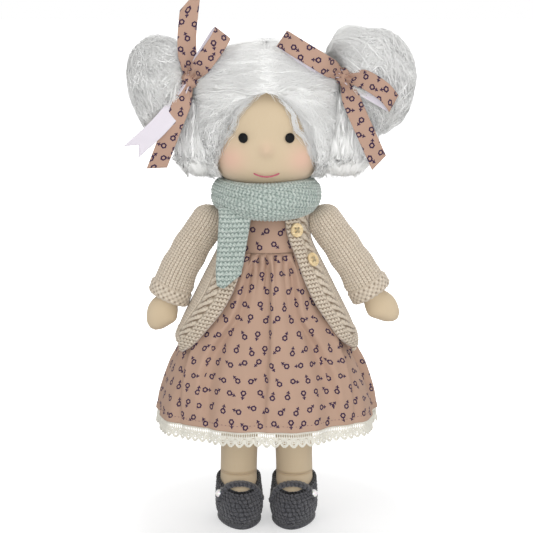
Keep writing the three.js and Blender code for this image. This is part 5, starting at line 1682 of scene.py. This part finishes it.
def onto_hair(points, lift):
    """Points moved level, in or out, onto the mass of hair."""
    share = (points[..., 2] - HAIR.base) / HAIR.height
    row = smooth(HAIR_SHARES, np.clip(share, 0, 0.985))
    width, depth = row[..., 1] * HAIR.half_width, row[..., 2] * HAIR.half_depth
    x, y = points[..., 0], points[..., 1] - HAIR.y
    away = np.maximum(np.hypot(x / width, y / depth), 1e-6)
    scale = (1 / away) * (1 + lift / np.maximum(np.hypot(x, y) / away, 4))
    return np.stack([x * scale, HAIR.y + y * scale, points[..., 2]], -1)


def opening_half(z):
    """Half the width of the open face at a height, and nothing above it."""
    share = ramp(z, FACE["low"], FACE["low"] + FACE["height"])
    half = smooth(FACE_SHARES, share)[..., 1] * FACE["half_width"]
    return np.where(z > FACE["low"] + FACE["height"], 0, half + 1)


def hair_mass():
    """The solid body of hair that the strands lie on, drawn in beside the open face."""
    columns = 260
    share, _ = share_grid(110, columns)
    z = HAIR.base + share * HAIR.height
    half = opening_half(z)
    t = np.linspace(0, 1, columns)[None]
    row = smooth(HAIR_SHARES, share)
    open_face = 1 / (1 + np.exp((z - FACE["low"] - FACE["height"]) / 3))
    width = row[..., 1] * HAIR.half_width - MASS["clear"] * open_face
    start = np.arcsin(np.clip(half / width, 0, 0.98))
    angle = start + (TURN - 2 * start) * t
    bumps = 0.9 * np.sin(19 * angle + 5 * np.sin(9 * share)) * np.sin(11 * share + 2 * angle) - 0.7
    beside = np.minimum(t, 1 - t) * (TURN - 2 * start) * 50
    outer = HAIR.point(share, angle, bumps - MASS["drawn_in"] * open_face * np.exp(-beside / 5.5))
    inside = smooth(HEAD_SHARES, (z - HEAD.base) / HEAD.height)
    width = np.minimum(inside[..., 1] * HEAD.half_width + MASS["wall"], row[..., 1] * HAIR.half_width - 1)
    depth = np.minimum(inside[..., 2] * HEAD.half_depth + MASS["wall"], row[..., 2] * HAIR.half_depth - 1)
    start = np.arcsin(np.clip(half / width, 0, 0.96))
    angle = start + (TURN - 2 * start) * t
    inner = np.stack([width * np.sin(angle), -depth * np.cos(angle), np.minimum(z, MASS["top"])], -1)
    return *shell(outer, inner, False), 0.35


def curve_through(start, middle, end, steps):
    """Smooth paths that leave each start toward its middle and come to its end."""
    t = np.linspace(0, 1, steps)[None, :, None]
    return (1 - t) ** 2 * start[:, None] + 2 * t * (1 - t) * middle[:, None] + t ** 2 * end[:, None]


def wave_paths(paths, size, waves):
    """Paths with a soft wave to each side, each with its own phase."""
    count, steps = paths.shape[:2]
    side = unit(np.cross(unit(np.gradient(paths, axis=1)), paths - np.array([0, HAIR.y, 320])))
    t = np.linspace(0, 1, steps)[None]
    phase = RANDOM.uniform(0, TURN, (count, 1))
    number = waves * RANDOM.uniform(0.75, 1.25, (count, 1))
    sway = size * np.sin(TURN * number * t + phase) * np.sin(np.clip(t * 8, 0, math.pi / 2))
    return paths + side * sway[..., None]


def crown_strands(side, count, steps, high_lift, waviness):
    """Strands from the parting to one tie, over the front, top and back of the head."""
    place = BUNS["left" if side < 0 else "right"]
    turn = RANDOM.uniform(0, 1, count)
    bend, top = CROWN["front_share"], CROWN["top"]
    rising = np.sin(ramp(turn, 0, bend) * math.pi / 2)
    high = CROWN["front"] + (top - CROWN["front"]) * rising + RANDOM.normal(0, 3.5, count)
    back = top - (top - CROWN["nape"]) * ramp(turn, bend, 1) ** 1.4
    front = turn < bend
    start_z = np.where(front, np.clip(high, CROWN["low"], top), back)
    start_y = np.where(front, -1.0, 1.0)
    start = np.stack([RANDOM.uniform(-6, 2, count) * side, HAIR.y + start_y * 60, start_z], -1)
    start = onto_hair(start, 0)
    end = np.stack([np.full(count, side * (place["x"] - 2.0)), RANDOM.normal(0, 6, count),
                    place["z"] + RANDOM.normal(0, 6, count)], -1)
    middle = (start + end) / 2
    middle[:, 1] += start_y * 16 * np.clip(1 - np.abs(start_z - 330) / 90, 0.2, 1)
    middle[:, 2] += np.where(front, 6, 2)
    rise = np.sin(np.linspace(0.15, 1, steps) * math.pi * 0.9)[None]
    ridge = np.sin(turn * 150 + 3 * np.sin(turn * 41)) + 0.6 * np.sin(turn * 61 + side)
    lift = RANDOM.uniform(-0.5, 0.6, (count, 1)) + high_lift * RANDOM.uniform(0, 1, (count, 1)) ** 2 * rise
    lift = lift + 0.85 * ridge[:, None] * rise
    path = onto_hair(curve_through(start, middle, end, steps), lift)
    path[..., 2] = np.maximum(path[..., 2], opening_limit(path))
    return wave_paths(path, waviness, 3.2)


def crossing_strands(count):
    """Short strands that cross the parting from one side of the crown to the other."""
    turn = RANDOM.uniform(0, 1, count) ** 1.4
    front = turn < 0.5
    z = np.where(front, 341 + 29 * np.sin(turn * math.pi), 371 - 85 * ramp(turn, 0.5, 1) ** 1.5)
    y = HAIR.y + np.where(front, -60.0, 60.0)
    way = RANDOM.choice([-1.0, 1.0], count)
    t = np.linspace(-1, 1, 12)[None]
    x = RANDOM.normal(0, 3, count)[:, None] + way[:, None] * t * RANDOM.uniform(7, 19, (count, 1))
    level = z[:, None] + RANDOM.normal(0, 3, (count, 1)) * t
    path = np.stack([x, y[:, None] + 0 * t, level], -1)
    lift = RANDOM.uniform(0.2, 1.7, (count, 1)) - 1.5 * t ** 2
    return wave_paths(onto_hair(path, lift), 1.0, 1.6)


def nape_strands(count, steps):
    """Wavy strands that fall down the back and sides of the head to their ends above the scarf."""
    turn = RANDOM.uniform(math.radians(NAPE["from"]), math.radians(NAPE["to"]), count)[:, None]
    t = np.linspace(0, 1, steps)[None]
    high = RANDOM.uniform(*NAPE["high"], (count, 1))
    low = RANDOM.uniform(*NAPE["low"], (count, 1))
    z = high + (low - high) * t
    turn = turn + RANDOM.normal(0, 0.12, (count, 1)) * t
    path = np.stack([HAIR.half_width * np.sin(turn), HAIR.y - HAIR.half_depth * np.cos(turn), z], -1)
    lift = RANDOM.uniform(-0.3, 1.6, (count, 1)) - 1.5 * (1 - t) ** 4
    return wave_paths(onto_hair(path, lift), 1.6, 2.4)


def edge_strands(side, count, steps, waviness, stray):
    """Strands that start beside the open face and sweep out and down over the temples."""
    rise = RANDOM.uniform(0, 1, count) ** 0.8
    start_z = 284 + 55 * rise
    half = (opening_half(start_z) - 1 + RANDOM.normal(1.6, stray, count)) / 0.94
    row = smooth(HAIR_SHARES, (start_z - HAIR.base) / HAIR.height)
    level = np.sqrt(np.clip(1 - (half / (row[:, 1] * HAIR.half_width)) ** 2, 0.02, 1))
    start = np.stack([side * half, HAIR.y - row[:, 2] * HAIR.half_depth * level, start_z], -1)
    away = RANDOM.uniform(0.5, 1, count)
    end = np.stack([side * (half + (63 - half) * away), -44 + 40 * away ** 2,
                    np.maximum(start_z - RANDOM.uniform(6, 34, count) + 14 * rise * away, 274)], -1)
    middle = (start + end) / 2 + np.stack([side * 6 + 0 * away, -8 + 0 * away, 5 * rise], -1)
    path = curve_through(start, middle, end, steps)
    t = np.linspace(0, 1, steps)[None]
    ridge = 0.9 * np.sin(rise * 47 + 2.5 * np.sin(rise * 13) + side)[:, None]
    lift = (RANDOM.uniform(-0.2, 1.8, (count, 1)) + ridge) * t - 3.5 * np.exp(-t * 4)
    return wave_paths(onto_hair(path, lift), waviness, 2.6)


def opening_limit(path):
    """The lowest height that hair over the forehead may have at a place, so that the face stays open."""
    share = np.linspace(0, 1, 60)
    half = smooth(FACE_SHARES, share)[:, 1] * FACE["half_width"]
    low = np.interp(np.abs(path[..., 0]), half[::-1], (FACE["low"] + share * FACE["height"])[::-1])
    return np.where((path[..., 1] < -8) & (np.abs(path[..., 0]) < FACE["half_width"]), low, 0)


def lock_strands(name, side, count, steps, waviness):
    """Wavy strands over one side lock, from under the tie down to curled ends."""
    place = LOCKS[name]
    half_x, half_y, half_z = place["size"]
    turn = RANDOM.uniform(0, TURN, count)
    t = np.linspace(0, 1, steps)[None]
    drop = RANDOM.uniform(0.78, 1.08, (count, 1))
    fall = -1.5 + t * (1.5 + drop)
    level = np.clip(fall, -0.995, 0.995)
    body = np.sqrt(1 - level ** 2 * np.where(level < 0, 0.3, 0.8)) * RANDOM.uniform(0.75, 1.06, (count, 1))
    x = side * place["x"] + half_x * body * np.sin(turn)[:, None]
    y = -half_y * body * np.cos(turn)[:, None]
    z = place["z"] - half_z * fall
    loop = ramp(t, 0.76, 1) * TURN * RANDOM.uniform(0.45, 0.95, (count, 1))
    size = RANDOM.uniform(2.0, 4.2, (count, 1))
    z = z + size * (1 - np.cos(loop))
    x = x + size * np.sin(loop) * RANDOM.choice([-1.0, 1.0], (count, 1))
    edge = FACE["half_width"] + 0.5
    x = np.where((np.abs(x) < edge) & (y < 0), side * edge, x)
    return wave_paths(np.stack([x, y, z], -1), waviness, 3.4)


# Thin curled strands beside the face, as places on its front in millimetres
FACE_STRANDS = [
    [(2, 341), (-9, 335), (-19, 326), (-25, 315), (-31, 305), (-36, 293), (-40, 280)],
    [(-8, 340), (-21, 330), (-30, 318), (-33, 306), (-38, 293), (-42, 281)],
    [(-14, 338), (-26, 328), (-34, 314), (-37, 301), (-43, 284)],
    [(-20, 336), (-31, 324), (-37, 310), (-40, 297), (-44, 284)],
    [(-2, 341), (-15, 333), (-25, 323), (-31, 311), (-36, 298), (-39, 284)],
    [(-24, 333), (-33, 320), (-39, 306), (-42, 292)],
    [(0, 341), (9, 335), (17, 326), (22, 314), (29, 304), (34, 293), (39, 279)],
    [(8, 340), (19, 330), (27, 319), (32, 307), (37, 294), (41, 280)],
    [(15, 338), (27, 328), (34, 314), (38, 301), (43, 286)],
    [(20, 336), (31, 323), (37, 309), (40, 296), (44, 284)],
    [(4, 341), (15, 333), (24, 323), (30, 311), (35, 298), (39, 284)],
    [(24, 333), (33, 320), (39, 306), (42, 292)],
]


def face_strands():
    """Bouclé strands that frame the face, each of two thin curled plies with loose fibres."""
    parts = []
    steps = 150
    for places in FACE_STRANDS:
        line = stretch([(x, 0, z + 4 * ramp(z, 318, 340)) for x, z in places], steps)
        row = smooth(HEAD_SHARES, (line[:, 2] - HEAD.base) / HEAD.height)
        limit = 0.96 * row[:, 1] * HEAD.half_width
        front = HEAD.front(np.clip(line[:, 0], -limit, limit), line[:, 2])
        line[:, 1] = front - 2.2 - 3.5 * ramp(line[:, 2], 318, 338)
        line[:, 0] += 0.9 * np.sin(np.linspace(0, 21, steps) + places[0][0])
        line[:, 0] += 0.5 * np.sin(np.linspace(0, 55, steps))
        turn = np.linspace(0, 30 * TURN, steps)
        plies = [line + np.stack([0.95 * np.cos(turn + phase), 0.55 * np.sin(turn + phase),
                                  0.3 * np.sin(2 * turn)], -1) for phase in (0, math.pi)]
        parts.append(strands(plies, 0.26, 6, 0.6))
        parts.append(strands(clumped(np.repeat(line[None, ::5], 46, 0), 1, 1.6), 0.12))
    return parts


def bun_axes(name, side):
    """The middle of a bun's tie, and the directions along the bun, to its front and across it."""
    place = BUNS[name]
    tie = np.array([side * place["x"], 0, place["z"]])
    ahead = unit(np.array([side * place["length"], 0, -place["dip"]]))
    deep = np.array([0, -1.0, 0])
    return tie, ahead, deep, np.cross(ahead, deep)


def around_bun(name, side, length, deep_reach, tall_reach, turn):
    """Places round a bun's middle line, at a length along it and a reach in each direction across it."""
    tie, ahead, deep, tall = bun_axes(name, side)
    return (tie + length[..., None] * ahead + (deep_reach * np.cos(turn))[..., None] * deep
            + (tall_reach * np.sin(turn))[..., None] * tall)


def bun_point(name, side, share, turn, grow):
    """A place on one bun: along it from its tie, and round it from the front."""
    place = BUNS[name]
    row = smooth(BUN_SHARES, share)
    first = BUN["out"] + BUN["tie"]
    least = BUN["neck"] * np.clip(share * 9, 0.9, 1) * (share < 0.5)
    tall = np.maximum(row[..., 1] * place["tall"], least)
    deep = np.maximum(row[..., 2] * place["deep"], least)
    above = np.clip(-1.2 * side * np.sin(turn), 0, 1)
    length = first + share * (place["length"] - first) - place["over"] * above * (1 - share)
    grow = grow + 2.4 * np.sin(3 * turn + 5 * share + side) * np.sin(4.5 * share)
    grow = grow + 1.4 * np.sin(7 * turn - 6 * share + 2 * side) * np.sin(3 * share)
    return around_bun(name, side, length, deep + grow, tall + grow, turn)


def bun_strands(name, side, count, steps, high_lift):
    """Strands that leave the tie, lie over the bun in waves and turn back near its end."""
    t = np.linspace(0, 1, steps)[None]
    first = RANDOM.uniform(0, TURN, (count, 1))
    swirl = RANDOM.normal(0.35, 0.55, (count, 1))
    far = RANDOM.uniform(0.55, 1.0, (count, 1))
    share = far * np.sin(t * math.pi / 2 * RANDOM.uniform(1.0, 1.35, (count, 1)))
    turn = first + swirl * t * 1.6 + 0.16 * np.sin(TURN * 2.6 * t + first * 3)
    grow = (high_lift + 2.8) * RANDOM.uniform(0, 1, (count, 1)) ** 2 - 2.8
    grow = grow + 0.8 * np.sin(TURN * 2.2 * t + first * 7)
    grow = grow + 0.9 * np.sin(first * 19 + 2 * np.sin(first * 5))
    return bun_point(name, side, share, turn, grow)


def bun_neck(name, side):
    """The gathered hair that passes through the tie."""
    length = np.linspace(-16, BUN["out"] + BUN["tie"] + 6, 40)[:, None] + np.zeros((1, 72))
    turn = angles(72)
    radius = BUN["neck"] * (1 - 0.12 * bell(length - BUN["out"], 2.2)) + 0.5 * np.abs(np.sin(18 * turn))
    return around_bun(name, side, length, radius, radius, turn)


def lock_mass(name, side):
    """The solid body of one side lock, kept clear of the open face."""
    place = LOCKS[name]
    turn = angles(80)
    down = np.linspace(0.05, math.pi - 0.05, 40)[:, None]
    bumps = 1 + 0.03 * np.sin(15 * turn + 9 * np.cos(down))
    half_x, half_y, half_z = place["size"]
    x = side * place["x"] + half_x * np.sin(down) * bumps * np.sin(turn)
    y = -half_y * np.sin(down) * bumps * np.cos(turn)
    x = np.where(y < 0, side * np.maximum(side * x, FACE["half_width"]), x)
    grid = np.stack([x, y, place["z"] + half_z * np.cos(down) + 0 * turn], -1)
    return *closed(grid[::-1]), 0.35


def add_hair_piece(name, parts, *nodes):
    points, faces, tone = joined(parts)
    add_piece(name, points, faces, "hair_yarn", "head", *nodes, marks={"tone": tone})


def add_hair():
    parts = [hair_mass()]
    parts.append(strands(crossing_strands(420), 0.42))
    parts.append(strands(crossing_strands(1300), FINE_HAIR))
    parts.append(strands(nape_strands(700, 18), 0.5))
    parts.append(strands(nape_strands(1800, 14), FINE_HAIR))
    for name, side in SIDES.items():
        parts.append(strands(crown_strands(side, 500, 16, 0.6, 0.9), 0.55))
        parts.append(strands(crown_strands(side, 3000, 14, 2.6, 1.5), FINE_HAIR))
        parts.append(strands(edge_strands(side, 420, 14, 1.2, 1.3), 0.45))
        parts.append(strands(edge_strands(side, 2400, 12, 2.2, 2.2), FINE_HAIR))
        parts.append(lock_mass(name, side))
        parts.append(strands(clumped(lock_strands(name, side, 90, 26, 2.0), 7, 0.7), 0.4))
        parts.append(strands(lock_strands(name, side, 1800, 16, 1.8), FINE_HAIR))
    parts += face_strands()
    add_hair_piece("hair_strands", parts, "hair_crown", "hair_back", "hair_side_left", "hair_side_right")
    for name, side in SIDES.items():
        share, turn = share_grid(70, 120)
        bumps = 0.9 * np.sin(13 * turn + 6 * share) * np.sin(9 * share + turn)
        parts = [(*closed(bun_point(name, side, share, turn, bumps - 3.4)), 0.35),
                 (*closed(bun_neck(name, side)), 0.45),
                 strands(bun_strands(name, side, 620, 20, 1.6), 0.5),
                 strands(bun_strands(name, side, 3200, 16, 3.2), FINE_HAIR)]
        add_hair_piece("bun_strands_" + name, parts, "bun_" + name)
        add_hair_tie(name, side)


def add_hair_tie(name, side):
    turn = np.linspace(0, TURN, 200)
    paths = []
    for phase in angles(5)[0]:
        twist = 22 * turn + phase
        reach = BUN["neck"] + 0.3 + BUN["tie"] + 1.25 * np.cos(twist)
        paths.append(around_bun(name, side, BUN["out"] + 1.25 * np.sin(twist), reach, reach, turn))
    add_piece("hair_band_" + name, *tubes(paths, 0.75, 6, 1.0), "hair_elastic", "head", "hair_tie_" + name)


def add_cap():
    columns = 160
    share, _ = share_grid(60, columns, (NECK + 17.3 - HEAD.base) / HEAD.height, 0.995)
    place = ramp(HEAD.base + share * HEAD.height, FACE["low"], FACE["low"] + FACE["height"])
    half = smooth(FACE_SHARES, place)[..., 1] * (FACE["half_width"] + 1)
    width = smooth(HEAD_SHARES, share)[..., 1] * HEAD.half_width
    start = np.arcsin(np.clip(half / width, 0, 0.97))
    angle = start + (TURN - 2 * start) * np.linspace(0, 1, columns)[None]
    outer, inner = HEAD.point(share, angle, 1.5), HEAD.point(share, angle, 0.35)
    cap = add_piece("wig_cap_cloth", *shell(outer, inner, False), "wig_cap", "head", "wig_cap")
    cloth_sheet(cap, outer, False, "stretched", ["head_cloth"])


# Bows of printed ribbon

RIBBON = {"width": 14, "thick": 0.8, "loop": 50}
KNOT = (6.5, 4.0, 6.5)

# Each ribbon's path from the knot, as shares of a loop across, out and up. Loops come back to the knot.
BOWS = {
    "left": [
        [(0, 0, 0), (-.02, .12, .3), (-.03, .16, .65), (.02, .1, 1.16)],
        [(0, 0, 0), (.2, .3, .25), (.4, .34, .52), (.5, .24, .7), (.44, .14, .66), (.22, .14, .32),
         (0, 0, .02)],
        [(0, 0, 0), (-.15, .16, -.3), (-.45, .3, -.66), (-.8, .3, -.98)],
        [(0, 0, 0), (-.14, .22, -.4), (-.32, .26, -.85), (-.49, .2, -1.28)],
    ],
    "right": [
        [(0, 0, 0), (-.3, .4, .2), (-.68, .4, .43), (-.9, .28, .56), (-.86, .22, .52), (-.45, .3, .24),
         (0, 0, .02)],
        [(0, 0, 0), (.28, .3, -.02), (.56, .44, -.18), (.72, .38, -.36), (.68, .26, -.36), (.4, .24, -.2),
         (0, 0, -.02)],
        [(0, 0, 0), (.14, .22, -.4), (.34, .28, -.85), (.53, .22, -1.26)],
    ],
}


def bow_knot(name, side):
    place = BUNS[name]
    y = -(BUN["neck"] + 0.6 + 2 * BUN["tie"] + KNOT[1])
    return np.array([side * (place["x"] + BUN["out"] / 2), y, place["z"]])


def add_bows():
    for name, side in SIDES.items():
        knot = bow_knot(name, side)
        knot_piece = add_knot(name, knot)
        for number, shares in enumerate(BOWS[name]):
            raw = np.array([[across, -out, up] for across, out, up in shares]) * RIBBON["loop"] + knot
            add_ribbon(name, number, raw, knot, knot_piece)


def add_ribbon(name, number, raw, knot, knot_piece):
    """One tail, which has four places and a slanted or notched end, or one loop, which has more."""
    hangs, notched = len(raw) == 4, (name, number) == ("left", 2)
    steps = 22 * (len(raw) - 1)
    path = stretch(raw, steps)
    far = raw[np.argmax(np.linalg.norm(raw - knot, axis=1))]
    wide = unit(np.array([far[2] - knot[2], 0, knot[0] - far[0]]))
    ahead = unit(np.gradient(path, axis=0))
    face = unit(np.cross(ahead, wide))
    near = np.linalg.norm(path - knot, axis=1)
    gather = (0.45 + 0.55 * ramp(near, 3, 19) ** 0.8)[:, None]
    across = np.linspace(-1, 1, 21)[None]
    ripple = (1 - gather) * 3.2 * np.cos(across * math.pi * 2.5)
    ripple = ripple + 0.5 * np.sin(np.linspace(0, 5, steps))[:, None] * across
    middle = path[:, None] + wide * (across * gather * RIBBON["width"] / 2)[..., None]
    middle = middle + face[:, None] * ripple[..., None]
    if hangs:
        reach = 9 if (name, number) == ("left", 0) else 3
        slant = 2.6 * np.abs(across) - 1 if notched else 0.3 + across
        cut = ramp(np.linspace(0, 1, steps), 0.8, 1)[:, None] * reach * slant
        middle = middle + ahead[:, None] * cut[..., None]
    printed = -np.sign(face[: steps // 3, 1].mean()) * (-1 if notched else 1)
    thick = face[:, None] * RIBBON["thick"] / 2 * printed
    points, faces = shell(middle + thick, middle - thick, False)
    if signed_volume(points, [faces]) < 0:
        faces = faces[:, ::-1]
    along = np.cumsum(np.r_[0, np.linalg.norm(np.diff(path, axis=0), axis=1)])
    flat = np.stack([across * RIBBON["width"] / 2 + 0 * along[:, None], along[:, None] + 0 * across], -1)
    uv = np.concatenate([flat.reshape(-1, 2)] * 2) * MM + 0.05 * number
    reverse = np.repeat([0.0, 1.0], across.size * steps)
    stands_for = ["bow_" + name] if number == 0 else []
    cloth = add_piece(f"ribbon_{name}_{number}", points, faces, "ribbon_cotton", "head", *stands_for, uv=uv,
                      marks={"reverse": reverse})
    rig.sheet(cloth, flat=(RIBBON["width"] * MM, float(along[-1]) * MM), held="hung" if hangs else "folded",
             rests_on=["ribbon_knot_" + name], with_pieces=[knot_piece] if number == 0 else [])


def add_knot(name, knot):
    turn = angles(72)
    down = np.linspace(0.03, math.pi - 0.03, 48)[:, None]
    crease = 1 + 0.06 * np.cos(9 * turn) * np.sin(down) + 0.05 * np.sin(5 * turn + 2 * down)
    grid = knot + np.stack([KNOT[0] * np.sin(down) * np.sin(turn) * crease,
                            -KNOT[1] * 1.1 * np.sin(down) * np.cos(turn) * crease,
                            -KNOT[2] * np.cos(down) + 0 * turn], -1)
    points, faces = closed(grid)
    return add_piece("ribbon_knot_" + name, points, faces, "ribbon_cotton", "head",
                     uv=points[:, [0, 2]] * MM, marks={"reverse": np.zeros(len(points))})


# The doll, put together

add_camera()
add_studio()
add_floor()
add_head()
add_face()
add_trunk()
for name, side in SIDES.items():
    add_leg(name, side)
    add_foot(name, side)
    add_arm(name, side)
    add_sleeve(name, side)
    add_shoe(name, side)
    woolly("arm_stuffing_" + name, "arm_" + name, lambda places: bent_stuffing(places, name, side))
    woolly("leg_stuffing_" + name, "leg_" + name)
woolly("torso_stuffing", "torso")
woolly("head_core", "head")
for node in ("hip_thread", "shoulder_thread", "neck_tie"):
    carried_over(node, "thread")
add_bodice()
add_skirt()
add_cardigan()
add_buttons()
add_scarf()
add_cap()
add_hair()
add_bows()

with open("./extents.json", "w") as size_file:
    json.dump({"cad": CAD_BOX, "visual": [list(corner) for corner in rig.bounds()]}, size_file)
